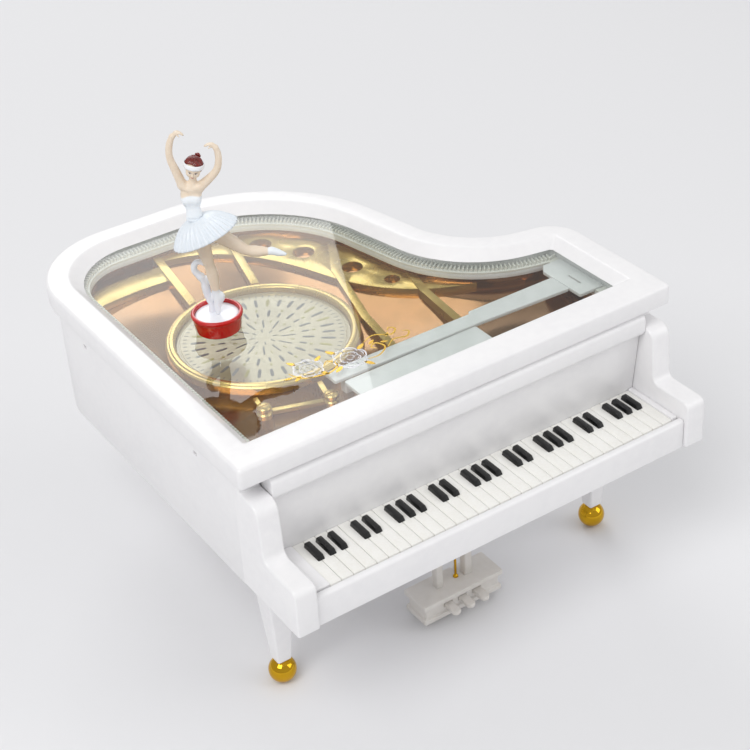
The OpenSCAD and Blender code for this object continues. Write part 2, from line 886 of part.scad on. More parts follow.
// The fixed sun wheel stands on the bridge, and the spindle turns inside it
module top_bridge() {
    color("#c9a227")
        at_dial()
            difference() {
                union() {
                    translate([0, 0, bridge_z])
                        linear_extrude(bridge_t)
                            polygon([[bed_u0 + 1, -14], [-5, -14], [11, 6], [11, 15.5],
                                [bed_u0 + 1, 14]]);
                    for (p = pillar_at)
                        translate([p.x, p.y, bed_z])
                            cylinder(r = pillar_r, h = bridge_z - bed_z + 0.5);
                    translate([0, 0, bridge_z + 0.5])
                        cylinder(r = sun_column_r, h = planet_z - bridge_z);
                    translate([0, 0, planet_z])
                        rotate([0, 0, orbit_angle])
                            gear(sun_teeth, sun_r, gear_t, 0.4, 0.55);
                }
                translate([0, 0, bridge_z - 1])
                    cylinder(r = spindle_r + run_fit, h = planet_z + gear_t - bridge_z + 2);
            }
}

gov_shaft_r = 0.6;
fly_shaft_r = 0.45;
fly_vane_z = drum_axis_z + worm_wheel_r + 0.4;
fly_vane_h = 3.4;
fly_top_z = fly_vane_z + fly_vane_h + 0.4;

module bearing_plates() {
    color("#b9bbbe")
        at_dial()
            difference() {
                union() {
                    box([bearing_u, bearing_u + bearing_t], [-3.2, 3.2], [bed_z, drum_axis_z + 2.4]);
                    box([outer_u, outer_u + bearing_t], [-3.2, gov_v + 2.4],
                        [bed_z, drum_axis_z + 2.4]);
                    box([end_u, end_u + bearing_t], [gov_v - 2.4, gov_v + 2.4],
                        [bed_z, drum_axis_z + 2.4]);
                    box([fly_u - 1.5, fly_u + 1.5], [fly_v + 3.7, fly_v + 5.2], [bed_z, fly_top_z]);
                    box([fly_u - 1.5, fly_u + 1.5], [fly_v - 1.4, fly_v + 5.2],
                        [fly_top_z, fly_top_z + 1]);
                }
                translate([bearing_u - 1, 0, drum_axis_z])
                    rod_x(drum_arbor_r + run_fit, outer_u - bearing_u + bearing_t + 2);
                translate([outer_u - 1, gov_v, drum_axis_z])
                    rod_x(gov_shaft_r + run_fit, end_u - outer_u + bearing_t + 2);
                translate([fly_u, fly_v, fly_top_z - 1])
                    cylinder(r = fly_shaft_r + run_fit, h = 3);
            }
}

comb_tip_v = -(drum_r + pin_h + comb_gap);
comb_u0 = drum_u + 0.6;
comb_u1 = drum_u + drum_len - 0.6;
comb_t = 0.9;
comb_z = drum_axis_z - comb_t / 2;
comb_screw_u = [comb_u0 + 2.6, (comb_u0 + comb_u1) / 2, comb_u1 - 2.6];
comb_screw_v = bed_v0 + 3;
heel = 6;

module comb_block() {
    color("#9fa1a4")
        at_dial()
            difference() {
                box([comb_u0 - 0.6, comb_u1 + 0.6], [bed_v0, bed_v0 + heel - 0.4], [bed_z, comb_z]);
                for (u = comb_screw_u)
                    translate([u, comb_screw_v, comb_z - 8])
                        cylinder(r = bed_screw_r + run_fit, h = 9);
            }
}

module comb() {
    note_w = (comb_u1 - comb_u0) / note_count;
    color("#cfd2d6")
        at_dial()
            difference() {
                box([comb_u0, comb_u1], [bed_v0, comb_tip_v], [comb_z, comb_z + comb_t]);
                for (i = [1:note_count - 1])
                    box([comb_u0 + i * note_w - 0.14, comb_u0 + i * note_w + 0.14],
                        [bed_v0 + heel + i * 0.16, comb_tip_v + 1], [comb_z - 1, comb_z + comb_t + 1]);
                for (u = comb_screw_u)
                    translate([u, comb_screw_v, comb_z - 1])
                        cylinder(r = bed_screw_r + 0.15, h = comb_t + 2);
            }
}

module comb_screws() {
    color("#b9bbbe")
        at_dial()
            for (u = comb_screw_u)
                translate([u, comb_screw_v, comb_z + comb_t])
                    mirror([0, 0, 1])
                        screw_up(bed_screw_r, 7);
}

pins_per_note = 3;
golden = 137.5;

module cylinder_wheel() {
    rotate([0, 90, 0]) {
        translate([0, 0, crown_in - 0.1])
            rotate([0, 0, 180 / pinion_teeth])
                gear(pinion_teeth, pinion_r, crown_out - crown_in + 0.2, addendum, 0.5);
        translate([0, 0, crown_in - 0.4])
            cylinder(r = drum_arbor_r, h = outer_u + bearing_t + 0.2 - crown_in + 0.4);
        translate([0, 0, drum_u])
            cylinder(r = drum_r, h = drum_len);
        translate([0, 0, drum_u + drum_len - 0.1])
            cylinder(r = drum_r / 2, h = wheel_u - drum_u - drum_len + 0.2);
        translate([0, 0, wheel_u])
            rotate([0, 0, 90])
                gear(wheel_teeth, wheel_r, wheel_t, 0.3, 0.45);
    }
}

// The pinned cylinder, with its pinion on the crown wheel and its wheel to the governor
module cylinder_pins() {
    note_w = (comb_u1 - comb_u0) / note_count;
    for (i = [0:note_count * pins_per_note - 1])
        translate([comb_u0 + (floor(i / pins_per_note) + 0.5) * note_w, 0, 0])
            rotate([i * golden, 0, 0])
                translate([0, 0, drum_r - 0.4])
                    cylinder(r = 0.2, h = pin_h + 0.4, $fn = 16);
}

module drum() {
    color("#c9a227")
        at_dial()
            translate([0, 0, drum_axis_z]) {
                cylinder_wheel();
                cylinder_pins();
            }
}

barrel_wall = 1.2;
barrel_plate = 1;

module barrel() {
    w = tooth_pitch;
    color("#c9a227")
        at_dial() {
            difference() {
                translate([0, 0, barrel_z])
                    cylinder(r = barrel_r, h = barrel_h);
                translate([0, 0, barrel_z + barrel_plate])
                    cylinder(r = barrel_r - barrel_wall, h = barrel_h - 2 * barrel_plate);
                translate([0, 0, barrel_z - 1])
                    cylinder(r = arbor_r + run_fit, h = barrel_plate + 2);
            }
            for (i = [0:crown_teeth - 1])
                rotate([0, 0, i * 360 / crown_teeth])
                    translate([crown_in, 0, barrel_top])
                        rotate([90, 0, 90])
                            linear_extrude(crown_out - crown_in)
                                polygon([[-0.2 * w, -0.2], [0.2 * w, -0.2], [0.2 * w, 0],
                                    [0.11 * w, tooth_h], [-0.11 * w, tooth_h], [-0.2 * w, 0]]);
        }
}

spring_t = 0.3;
spring_turns = 7;

module mainspring() {
    r0 = arbor_r + 0.5;
    r1 = barrel_r - barrel_wall - spring_t - 0.1;
    steps = spring_turns * 20;
    function arm(i, e) = (r0 + (r1 - r0) * i / steps + e) * [cos(i * 18), sin(i * 18)];
    color("#6f7377")
        at_dial()
            translate([0, 0, barrel_z + barrel_plate + 0.3])
                linear_extrude(barrel_h - 2 * barrel_plate - 0.6)
                    polygon(concat([for (i = [0:steps]) arm(i, spring_t)],
                        [for (i = [steps:-1:0]) arm(i, 0)]));
}

spindle_tip_r = 1;

module spindle() {
    color("#b9bbbe")
        at_dial() {
            translate([0, 0, barrel_top])
                cylinder(r = 3.4, h = 0.8);
            translate([0, 0, barrel_top])
                cylinder(r = spindle_r, h = arm_z - barrel_top);
            translate([0, 0, arm_z - 0.5])
                cylinder(r = spindle_tip_r, h = arm_t + 0.9);
            translate([0, 0, arm_z + arm_t])
                cylinder(r = 1.9, h = 0.6);
        }
}

planet_shaft_r = 0.8;
arm_w = 5;
weight_r = 5;

// The arm under the dial that carries the turning magnet, with a weight opposite
module magnet_arm() {
    color("#d8d9db")
        at_dial()
            rotate([0, 0, orbit_angle])
                translate([0, 0, arm_z])
                    difference() {
                        union() {
                            cylinder(r = 3.6, h = arm_t);
                            translate([orbit_r, 0, 0])
                                cylinder(r = arm_w / 2 + 0.5, h = arm_t);
                            translate([-orbit_r * 0.7, 0, 0])
                                cylinder(r = weight_r, h = arm_t);
                            box([-orbit_r * 0.7, orbit_r], [-arm_w / 2, arm_w / 2], [0, arm_t]);
                        }
                        translate([0, 0, -1])
                            cylinder(r = spindle_tip_r + run_fit, h = arm_t + 2);
                        translate([orbit_r, 0, -1])
                            cylinder(r = planet_shaft_r + run_fit, h = arm_t + 2);
                    }
}

module planet_gear() {
    color("#f1efe9")
        at_puck() {
            translate([0, 0, planet_z])
                rotate([0, 0, orbit_angle + 180 + 180 / planet_teeth])
                    gear(planet_teeth, planet_r, gear_t, 0.4, 0.55);
            translate([0, 0, planet_z])
                cylinder(r = planet_shaft_r, h = magnet_z - planet_z);
        }
}

module drive_magnet() {
    color("#7b7f84")
        at_puck()
            translate([0, 0, magnet_z])
                cylinder(r = magnet_r, h = magnet_h);
}

key_drop = 11;
key_hub_r = 3.8;
key_wing = 13;

module winding_arbor() {
    color("#9fa1a4")
        at_dial()
            translate([0, 0, stand_h - key_drop + 4])
                cylinder(r = arbor_r, h = barrel_top - barrel_plate - 0.3 - stand_h + key_drop - 4);
}

module winding_key() {
    z0 = stand_h - key_drop;
    color("#c9a227")
        at_dial()
            difference() {
                union() {
                    translate([0, 0, z0])
                        cylinder(r = key_hub_r, h = key_drop - 1.4);
                    for (s = [-1, 1])
                        translate([s * (key_wing - 4.5), 1.1, z0 + 4.5])
                            rotate([90, 0, 0])
                                cylinder(r = 4.5, h = 2.2);
                    box([-key_wing + 4.5, key_wing - 4.5], [-1.1, 1.1], [z0 + 1, z0 + 8]);
                }
                translate([0, 0, z0 + 4])
                    cylinder(r = arbor_r + 0.02, h = key_drop);
            }
}

module governor_wheel() {
    color("#c9a227")
        at_dial()
            translate([0, gov_v, drum_axis_z])
                rotate([0, 90, 0]) {
                    translate([0, 0, wheel_u])
                        rotate([0, 0, -90 + 180 / gov_teeth])
                            gear(gov_teeth, gov_pinion_r, wheel_t, 0.3, 0.45);
                    translate([0, 0, wheel_u - 0.2])
                        cylinder(r = gov_shaft_r, h = end_u + bearing_t - wheel_u + 0.4);
                    translate([0, 0, worm_wheel_u])
                        gear(20, worm_wheel_r - 0.3, wheel_t, 0.3, 0.5);
                }
}

module governor_fly() {
    color("#d8d9db")
        at_dial()
            translate([fly_u, fly_v, 0]) {
                translate([0, 0, bed_z - 0.8])
                    cylinder(r = fly_shaft_r, h = fly_top_z + 1.2 - bed_z + 0.8);
                translate([0, 0, drum_axis_z - 2.4])
                    cylinder(r = worm_r, h = 4.8);
                box([-3.2, 3.2], [-0.25, 0.25], [fly_vane_z, fly_vane_z + fly_vane_h]);
            }
}

module movement_screws() {
    color("#b9bbbe")
        at_dial()
            for (p = bed_screws)
                translate([p.x, p.y, stand_h])
                    screw_up(bed_screw_r, base_t + bed_t - 0.3);
}

// ---------- dancer and her stand ----------

shell_t = 1.2;
disc_t = 1.4;
disc_drop = 1;
puck_foot = puck_r - 1.7;
magnet_seat = 1;
puck_magnet_r = puck_foot - 1.6;
puck_magnet_h = 2.2;

module puck_shell() {
    step = puck_h - disc_drop - disc_t;
    color("#cc0505")
        at_puck()
            translate([0, 0, puck_z])
                rotate_extrude($fn = 64)
                    polygon([[0, 0], [puck_foot - 0.8, 0], [puck_foot, 0.7],
                        [puck_r - 0.3, puck_h - 2], [puck_r, puck_h - 0.5],
                        [puck_r - 0.4, puck_h], [puck_r - shell_t + 0.2, puck_h],
                        [puck_r - shell_t, puck_h - 0.3], [puck_r - shell_t, step],
                        [puck_magnet_r + 0.1, step], [puck_magnet_r + 0.1, magnet_seat],
                        [0, magnet_seat]]);
}

module puck_disc() {
    color("#f2f4f8")
        at_puck()
            translate([0, 0, puck_z + puck_h - disc_drop - disc_t])
                cylinder(r = puck_r - shell_t - 0.1, h = disc_t, $fn = 64);
}

module puck_magnet() {
    color("#7b7f84")
        at_puck()
            translate([0, 0, puck_z + magnet_seat])
                cylinder(r = puck_magnet_r, h = puck_magnet_h);
}

// Dancer's own axes: X to her left arm's side, -Y the way she faces, Z up from the disc
module on_disc() {
    at_puck()
        translate([0, 0, puck_z + puck_h - disc_drop])
            rotate([0, 0, dancer_turn])
                scale(dancer_h / 68.4)
                    children();
}

module limb(a, b, ra, rb) {
    hull() {
        translate(a)
            sphere(r = ra, $fn = 14);
        translate(b)
            sphere(r = rb, $fn = 14);
    }
}

// A run of limbs through points that each carry a radius
module chain(joints) {
    for (i = [0:len(joints) - 2])
        limb(joints[i][0], joints[i + 1][0], joints[i][1], joints[i + 1][1]);
}

head_at = [-1.5, 0, 55.3];
head_r = 3.05;

module dancer_body() {
    color("#e9dccb")
        on_disc() {
            chain([[[0.6, -1.6, 1.1], 1], [[0.5, 0.2, 2.4], 1.2], [[0.4, 0.3, 7], 1.5],
                [[-0.6, 0, 14.5], 1.8], [[-1.8, 0, 28], 2.6], [[-2.6, 0, 32.5], 3]]);
            chain([[[-2, 0.4, 29], 2.6], [[9.2, 1, 23.2], 1.6], [[18.5, 1.2, 21.6], 1.2],
                [[24.4, 1.2, 21.2], 0.7]]);
            chain([[[-2.6, 0, 32.5], 3], [[-3.7, 0, 37.4], 2.5], [[-3.3, 0, 45.4], 3.4]]);
            chain([[[-5.6, 0.2, 48.6], 1.8], [[-0.6, 0.2, 47.6], 1.8]]);
            chain([[[-3, 0.2, 47], 2], [[-2, 0, 52.6], 1.3]]);
            chain([[[-6, 0.2, 49.4], 1.5], [[-9, 0, 57.4], 1.3], [[-8.7, -0.2, 62.4], 1.2],
                [[-5, -0.6, 67.2], 1], [[-3, -0.8, 66.4], 0.7]]);
            chain([[[-0.4, 0.2, 48], 1.5], [[5.4, 0, 53.2], 1.3], [[6.6, -0.2, 58.4], 1.2],
                [[5.4, -0.6, 62.2], 1], [[3.6, -0.8, 62.5], 0.7]]);
            limb(head_at + [0, -0.3, -1], head_at + [0, -0.6, -2.2], 2.1, 1.5);
            translate(head_at)
                sphere(r = head_r, $fn = 20);
        }
}

skirt_tilt = 25;
skirt_r = 11.9;
skirt_h = 7.4;
waist_hole = 3.1;

module tutu() {
    color("#e8eef4")
        on_disc()
            translate([-0.3, 0, 29.2])
                rotate([0, -skirt_tilt, 0])
                    rotate_extrude($fn = 64)
                        polygon([[skirt_r, 0], [waist_hole + 2.4, skirt_h - 1.2],
                            [waist_hole + 0.6, skirt_h], [waist_hole, skirt_h],
                            [waist_hole, skirt_h - 0.7], [skirt_r - 0.9, 0]]);
}

module hair() {
    color("#8b1a10")
        on_disc()
            translate(head_at + [0, 0.25, 0.35])
                difference() {
                    sphere(r = head_r + 0.75, $fn = 32);
                    translate([0, -0.25, -0.35])
                        sphere(r = head_r + 0.05, $fn = 32);
                    rotate([-30, 0, 0])
                        translate([-8, -8, -16.6])
                            cube([16, 16, 16]);
                }
}

module headband() {
    color("#f2f4f8")
        on_disc()
            translate(head_at + [0, 0.25, 0.35])
                rotate([28, 0, 0])
                    difference() {
                        cylinder(r = head_r + 1.1, h = 0.9);
                        translate([0, 0, -1])
                            cylinder(r = head_r + 0.85, h = 3);
                    }
}

module support_curl() {
    color("#f2f4f8")
        on_disc()
            chain([[[-1.6, 2.4, 1.1], 1.1], [[-4.4, 2, 12], 1.1], [[-7, 1.6, 17.6], 1.1],
                [[-5, 1.6, 20.8], 1], [[-3.5, 1.4, 19.6], 0.8]]);
}

case_shell();
base_plate();
base_screws();
keybed();
white_keys();
black_keys();
key_blocks();
fallboard();
nosing();
lid_frame();
clear_cover();
inner_frame();
rib_strip();
belly_rail();
rail_bracket();
shelf_tab();
mirror_tray();
harp_plate();
dial_ring();
dial_disc();
gilt_bosses();
gilt_bars();
leg_bass();
leg_treble();
leg_tail();
foot_bass();
foot_treble();
foot_tail();
leg_screws();
lyre_posts();
lyre_rod();
pedal_box();
pedals();
bedplate();
top_bridge();
bearing_plates();
comb_block();
comb();
comb_screws();
drum();
barrel();
mainspring();
spindle();
magnet_arm();
planet_gear();
drive_magnet();
winding_arbor();
winding_key();
governor_wheel();
governor_fly();
movement_screws();
puck_shell();
puck_disc();
puck_magnet();
dancer_body();
tutu();
hair();
headband();
support_curl();
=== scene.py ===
"""A wind-up musical grand piano, with a dancer who circles on its clear cover.

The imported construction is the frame. Every class here is one sub-assembly of the piano: it
holds its sizes, builds the meshes that are seen, and dresses them. Sizes are in millimetres
from the lid's front bass corner and from the floor, and become metres as a mesh is made.
"""

import logging
import math
from collections.abc import Callable, Iterable, Sequence
from dataclasses import dataclass, field
from enum import Enum
from functools import cache

import bmesh
import bpy
import numpy as np
from mathutils import Matrix, Vector
from mathutils.bvhtree import BVHTree


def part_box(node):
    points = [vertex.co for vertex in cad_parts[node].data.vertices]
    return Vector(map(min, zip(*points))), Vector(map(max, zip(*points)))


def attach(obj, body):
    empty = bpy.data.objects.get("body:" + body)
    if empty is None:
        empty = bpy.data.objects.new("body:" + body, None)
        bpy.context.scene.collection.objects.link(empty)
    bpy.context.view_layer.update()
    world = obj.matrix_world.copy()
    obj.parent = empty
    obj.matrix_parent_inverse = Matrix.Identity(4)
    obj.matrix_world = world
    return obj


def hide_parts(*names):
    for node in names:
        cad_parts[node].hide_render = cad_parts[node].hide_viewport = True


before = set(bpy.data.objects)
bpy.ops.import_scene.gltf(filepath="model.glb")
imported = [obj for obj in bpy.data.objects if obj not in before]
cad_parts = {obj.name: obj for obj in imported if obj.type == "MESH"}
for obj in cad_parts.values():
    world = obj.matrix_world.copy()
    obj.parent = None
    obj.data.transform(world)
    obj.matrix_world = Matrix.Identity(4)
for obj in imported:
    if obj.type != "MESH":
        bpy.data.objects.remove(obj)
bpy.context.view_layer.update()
MM = 0.001
log = logging.getLogger("piano")

Point = Sequence[float]
Ring = list[tuple[float, float, float]]


# ---------------------------------------------------------------- plan of the piano


@cache
def node_box(node: str) -> tuple[Vector, Vector]:
    """Lowest and highest corner of a construction node, in metres."""
    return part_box(node)


def unit(v: np.ndarray) -> np.ndarray:
    """A vector of length one along v."""
    return v / np.linalg.norm(v)


@dataclass(frozen=True)
class Plan:
    """The lid's outline and the levels of the piano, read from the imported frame.

    Attributes:
        arc_step: degrees between the points of a rounded corner.
    """

    treble_side: float = 58.8
    waist: tuple[float, float] = (131.4, 66.5)
    tail_x: float = 112.4
    rim: float = 8.5
    front_rim: float = 3.0
    bevel: float = 3.5
    overhang: float = 2.6
    wall: float = 2.4
    cheek_reach: float = 22.2
    cheek: float = 7.8
    arc_step: float = 2.5

    def level(self, node: str, top: bool = True) -> float:
        """Height of a node's top or bottom above the floor, in millimetres."""
        return node_box(node)[1 if top else 0].z / MM

    @property
    def corner(self) -> Vector:
        """The lid's front bass corner in the frame, in metres, at floor height."""
        low = node_box("lid_frame")[0]
        return Vector((low.x, low.y, 0))

    @property
    def size(self) -> tuple[float, float]:
        """Width and depth of the lid."""
        low, high = node_box("lid_frame")
        return (high.x - low.x) / MM, (high.y - low.y) / MM

    @property
    def open_inset(self) -> float:
        """Distance from the lid's edge to the foot of the sloped rim."""
        return self.rim + self.bevel

    def centre(self, node: str) -> tuple[float, float]:
        """Middle of a node's box, as a plan point."""
        low, high = node_box(node)
        mid = (low + high) / 2 - self.corner
        return mid.x / MM, mid.y / MM

    def place(self, p: Point) -> tuple[float, float, float]:
        """A plan point in millimetres as a frame point in metres."""
        c = self.corner
        return p[0] * MM + c.x, p[1] * MM + c.y, p[2] * MM

    def corners(self) -> list[np.ndarray]:
        """The six corners of the lid before they are rounded."""
        w, d = self.size
        pts = [(0, 0), (w, 0), (w, self.treble_side), self.waist, (self.tail_x, d), (0, d)]
        return [np.array(p, float) for p in pts]

    def radii(self, inset: float) -> list[float]:
        """Corner radii of the outline moved inwards by inset."""
        front = max(1.5 - inset, 0.4)
        return [
            front,
            front,
            max(13.4 - inset, 0.8),
            34 + inset,
            max(61.5 - inset, 1),
            max(34 - inset, 1),
        ]

    def inset_corners(self, inset: float, front: float) -> list[np.ndarray]:
        """The corners moved inwards by inset, and by front along the front edge."""
        pts = self.corners()
        n = len(pts)
        gaps = [front] + [inset] * (n - 1)
        moved = []
        for i, b in enumerate(pts):
            u, v = unit(b - pts[i - 1]), unit(pts[(i + 1) % n] - b)
            p = b + np.array([-u[1], u[0]]) * gaps[i - 1]
            q = b + np.array([-v[1], v[0]]) * gaps[i]
            reach = q - p
            moved.append(p + u * (reach[0] * v[1] - reach[1] * v[0]) / (u[0] * v[1] - u[1] * v[0]))
        return moved

    def outline(self, inset: float, front: float | None = None) -> list[np.ndarray]:
        """The rounded outline moved inwards.

        Args:
            inset: distance moved in from the lid's edge.
            front: the same for the front edge, if it differs.

        Returns:
            Plan points anticlockwise, always the same number of them.
        """
        pts = self.inset_corners(inset, inset if front is None else front)
        n = len(pts)
        radii = self.radii(inset)
        out: list[np.ndarray] = []
        for i, b in enumerate(pts):
            out += fillet(pts[i - 1], b, pts[(i + 1) % n], radii[i], self.arc_step)
        return out


def fillet(a: np.ndarray, b: np.ndarray, c: np.ndarray, r: float, step: float) -> list[np.ndarray]:
    """The arc that rounds corner b between a and c.

    Args:
        a: the corner before.
        b: the corner that is rounded.
        c: the corner after.
        r: radius of the arc.
        step: degrees between its points.

    Returns:
        The arc's points from a's side to c's side.
    """
    u, v = unit(a - b), unit(c - b)
    half = math.acos(max(-1.0, min(1.0, float(u @ v)))) / 2
    o = b + unit(u + v) * r / math.sin(half)
    s = b + u * r / math.tan(half) - o
    e = b + v * r / math.tan(half) - o
    a0 = math.atan2(s[1], s[0])
    turn = (math.atan2(e[1], e[0]) - a0 + 3 * math.pi) % (2 * math.pi) - math.pi
    n = max(3, math.ceil(math.degrees(abs(math.pi / 2 - half)) * 2 / step))
    return [o + r * np.array([math.cos(a0 + turn * k / n), math.sin(a0 + turn * k / n)])
            for k in range(n + 1)]


def rounded(points: Sequence[Point], radii: Sequence[float], step: float = 15) -> list[np.ndarray]:
    """A closed outline with each corner rounded to its own radius."""
    pts = [np.array(p, float) for p in points]
    n = len(pts)
    out: list[np.ndarray] = []
    for i, b in enumerate(pts):
        out += fillet(pts[i - 1], b, pts[(i + 1) % n], radii[i], step)
    return out


def bezier(a: Point, b: Point, c: Point, n: int = 12) -> list[np.ndarray]:
    """Points along a quadratic curve from a to c, drawn towards b."""
    a, b, c = (np.array(p, float) for p in (a, b, c))
    return [(1 - t) ** 2 * a + 2 * t * (1 - t) * b + t * t * c for t in np.linspace(0, 1, n + 1)]


def smooth_path(points: Sequence[Point], per: int = 8, closed: bool = False) -> list[np.ndarray]:
    """A Catmull-Rom curve through the points, with per points for each stretch."""
    pts = [np.array(p, float) for p in points]
    n = len(pts)
    out = []
    spans = n if closed else n - 1
    for i in range(spans):
        if closed:
            p0, p1, p2, p3 = (pts[(i + k) % n] for k in (-1, 0, 1, 2))
        else:
            p0, p1, p2, p3 = (pts[min(max(i + k, 0), n - 1)] for k in (-1, 0, 1, 2))
        for t in np.arange(per) / per:
            out.append(0.5 * (2 * p1 + (p2 - p0) * t + (2 * p0 - 5 * p1 + 4 * p2 - p3) * t ** 2
                              + (3 * p1 - p0 - 3 * p2 + p3) * t ** 3))
    if not closed:
        out.append(pts[-1])
    return out


PLAN = Plan()


# ---------------------------------------------------------------- mesh making


class Shade(Enum):
    """How a mesh's faces meet in the light."""

    SOFT = 180.0
    EDGED = 32.0


def mesh_object(name: str, verts: Iterable[Point], faces: Iterable[Sequence[int]],
                shade: Shade = Shade.EDGED, in_frame: bool = False) -> bpy.types.Object:
    """A new object from points and faces.

    Args:
        name: the piece's name.
        verts: plan points in millimetres, or frame points in metres with in_frame.
        faces: point numbers of each face, seen anticlockwise from outside.
        shade: whether its edges stay crisp.
        in_frame: True where the points are in the frame already.

    Returns:
        The object, at the origin.
    """
    mesh = bpy.data.meshes.new(name)
    points = list(verts) if in_frame else [PLAN.place(p) for p in verts]
    mesh.from_pydata([tuple(map(float, p)) for p in points], [], [tuple(f) for f in faces])
    obj = bpy.data.objects.new(name, mesh)
    bpy.context.scene.collection.objects.link(obj)
    finish_mesh(obj, shade)
    return obj


def finish_mesh(obj: bpy.types.Object, shade: Shade) -> None:
    """Turns the faces outwards and sets which edges are crisp."""
    bm = bmesh.new()
    bm.from_mesh(obj.data)
    bmesh.ops.remove_doubles(bm, verts=bm.verts, dist=1e-7)
    bmesh.ops.recalc_face_normals(bm, faces=bm.faces)
    bm.to_mesh(obj.data)
    bm.free()
    obj.data.shade_smooth()
    if shade is Shade.EDGED:
        obj.data.set_sharp_from_angle(angle=math.radians(shade.value))


def loft(rings: Sequence[Ring], closed: bool = False, caps: bool = True
         ) -> tuple[list[Point], list[list[int]]]:
    """Skins a row of rings that have as many points each.

    Args:
        rings: the rings in order.
        closed: True where the last ring joins the first.
        caps: True to close the first and last ring.

    Returns:
        Points and faces.
    """
    n = len(rings[0])
    verts = [p for ring in rings for p in ring]
    faces = []
    count = len(rings)
    for i in range(count if closed else count - 1):
        j = (i + 1) % count
        faces += [[i * n + k, i * n + (k + 1) % n, j * n + (k + 1) % n, j * n + k]
                  for k in range(n)]
    if caps and not closed:
        faces.append(list(range(n))[::-1])
        faces.append([(count - 1) * n + k for k in range(n)])
    return verts, faces


def modified(obj: bpy.types.Object, shade: Shade = Shade.EDGED) -> bpy.types.Object:
    """Makes what the object's modifiers show its own plain mesh, and removes them."""
    bpy.context.view_layer.update()
    seen = obj.evaluated_get(bpy.context.evaluated_depsgraph_get())
    mesh = bpy.data.meshes.new_from_object(seen)
    obj.modifiers.clear()
    old = obj.data
    obj.data = mesh
    mesh.name = obj.name
    bpy.data.meshes.remove(old)
    finish_mesh(obj, shade)
    return obj


def eased(obj: bpy.types.Object, width: float, segments: int = 3, angle: float = 40
          ) -> bpy.types.Object:
    """Rounds the object's sharp edges.

    Args:
        obj: the piece.
        width: width of the rounding in millimetres.
        segments: facets across it.
        angle: edges that turn by more degrees than this are rounded.

    Returns:
        The same object.
    """
    bevel = obj.modifiers.new("Ease", "BEVEL")
    bevel.width = width * MM
    bevel.segments = segments
    bevel.limit_method = "ANGLE"
    bevel.angle_limit = math.radians(angle)
    bevel.use_clamp_overlap = True
    return modified(obj)


def cut(obj: bpy.types.Object, tools: Sequence[bpy.types.Object]) -> bpy.types.Object:
    """Cuts the tools' shapes out of the object and removes the tools."""
    for tool in tools:
        boolean = obj.modifiers.new("Cut", "BOOLEAN")
        boolean.object = tool
        boolean.solver = "EXACT"
    modified(obj)
    for tool in tools:
        bpy.data.objects.remove(tool)
    return obj


def prism(name: str, profile: Sequence[Point], x0: float, x1: float, ease: float = 0.3
          ) -> bpy.types.Object:
    """A bar along X.

    Args:
        name: the piece's name.
        profile: its section as (y, z) points.
        x0: where it starts.
        x1: where it ends.
        ease: rounding of its edges.

    Returns:
        The bar.
    """
    rings = [[(x, p[0], p[1]) for p in profile] for x in (x0, x1)]
    obj = mesh_object(name, *loft(rings))
    return eased(obj, ease) if ease else obj


def plate(name: str, outline: Sequence[Point], z0: float, z1: float, ease: float = 0.3
          ) -> bpy.types.Object:
    """A flat plate of the outline, from z0 to z1, with eased edges."""
    rings = [[(p[0], p[1], z) for p in outline] for z in (z0, z1)]
    obj = mesh_object(name, *loft(rings))
    return eased(obj, ease) if ease else obj


def rectangle(x: Point, y: Point) -> list[tuple[float, float]]:
    """The corners of a rectangle from its two ranges."""
    return [(x[0], y[0]), (x[1], y[0]), (x[1], y[1]), (x[0], y[1])]


def turned(name: str, centre: Point, profile: Sequence[Point], steps: int = 64,
           shade: Shade = Shade.EDGED) -> bpy.types.Object:
    """A piece turned on a lathe about a vertical axis.

    Args:
        name: the piece's name.
        centre: the axis in plan.
        profile: (radius, z) points; a closed section if no radius is 0, else from axis to axis.
        steps: facets round it.
        shade: whether its edges stay crisp.

    Returns:
        The piece.
    """
    turns = np.linspace(0, 2 * math.pi, steps, endpoint=False)
    rings = [[(centre[0] + max(r, 1e-4) * math.cos(t), centre[1] + max(r, 1e-4) * math.sin(t), z)
              for t in turns] for r, z in profile]
    solid = min(r for r, _ in profile) < 1e-6
    return mesh_object(name, *loft(rings, closed=not solid, caps=solid), shade)


def round_profile(points: Sequence[Point], radii: Sequence[float]) -> list[tuple[float, float]]:
    """A lathe section with its corners rounded."""
    return [(float(p[0]), float(p[1])) for p in rounded(points, radii, 18)]


def tube(points: Sequence[np.ndarray], radii: Sequence[float], sides: int = 12,
         flat: float = 1.0) -> tuple[list[Point], list[list[int]]]:
    """A round bar along a path.

    Args:
        points: the path.
        radii: its radius at each point.
        sides: facets round it.
        flat: share of the radius across the path's plane.

    Returns:
        Points and faces.
    """
    rings = []
    side = np.array([0.0, 1.0, 0.0])
    for i, p in enumerate(points):
        t = unit(points[min(i + 1, len(points) - 1)] - points[max(i - 1, 0)])
        side = unit(side - t * float(side @ t))
        up = np.cross(t, side)
        rings.append([tuple(p + radii[i] * (math.cos(a) * up + flat * math.sin(a) * side))
                      for a in np.linspace(0, 2 * math.pi, sides, endpoint=False)])
    return loft(rings)


def joined(name: str, pieces: Sequence[tuple[list[Point], list[list[int]]]],
           shade: Shade = Shade.EDGED) -> bpy.types.Object:
    """One object from several lots of points and faces."""
    verts: list[Point] = []
    faces: list[list[int]] = []
    for points, polygons in pieces:
        faces += [[k + len(verts) for k in f] for f in polygons]
        verts += points
    return mesh_object(name, verts, faces, shade)


# ---------------------------------------------------------------- finishes


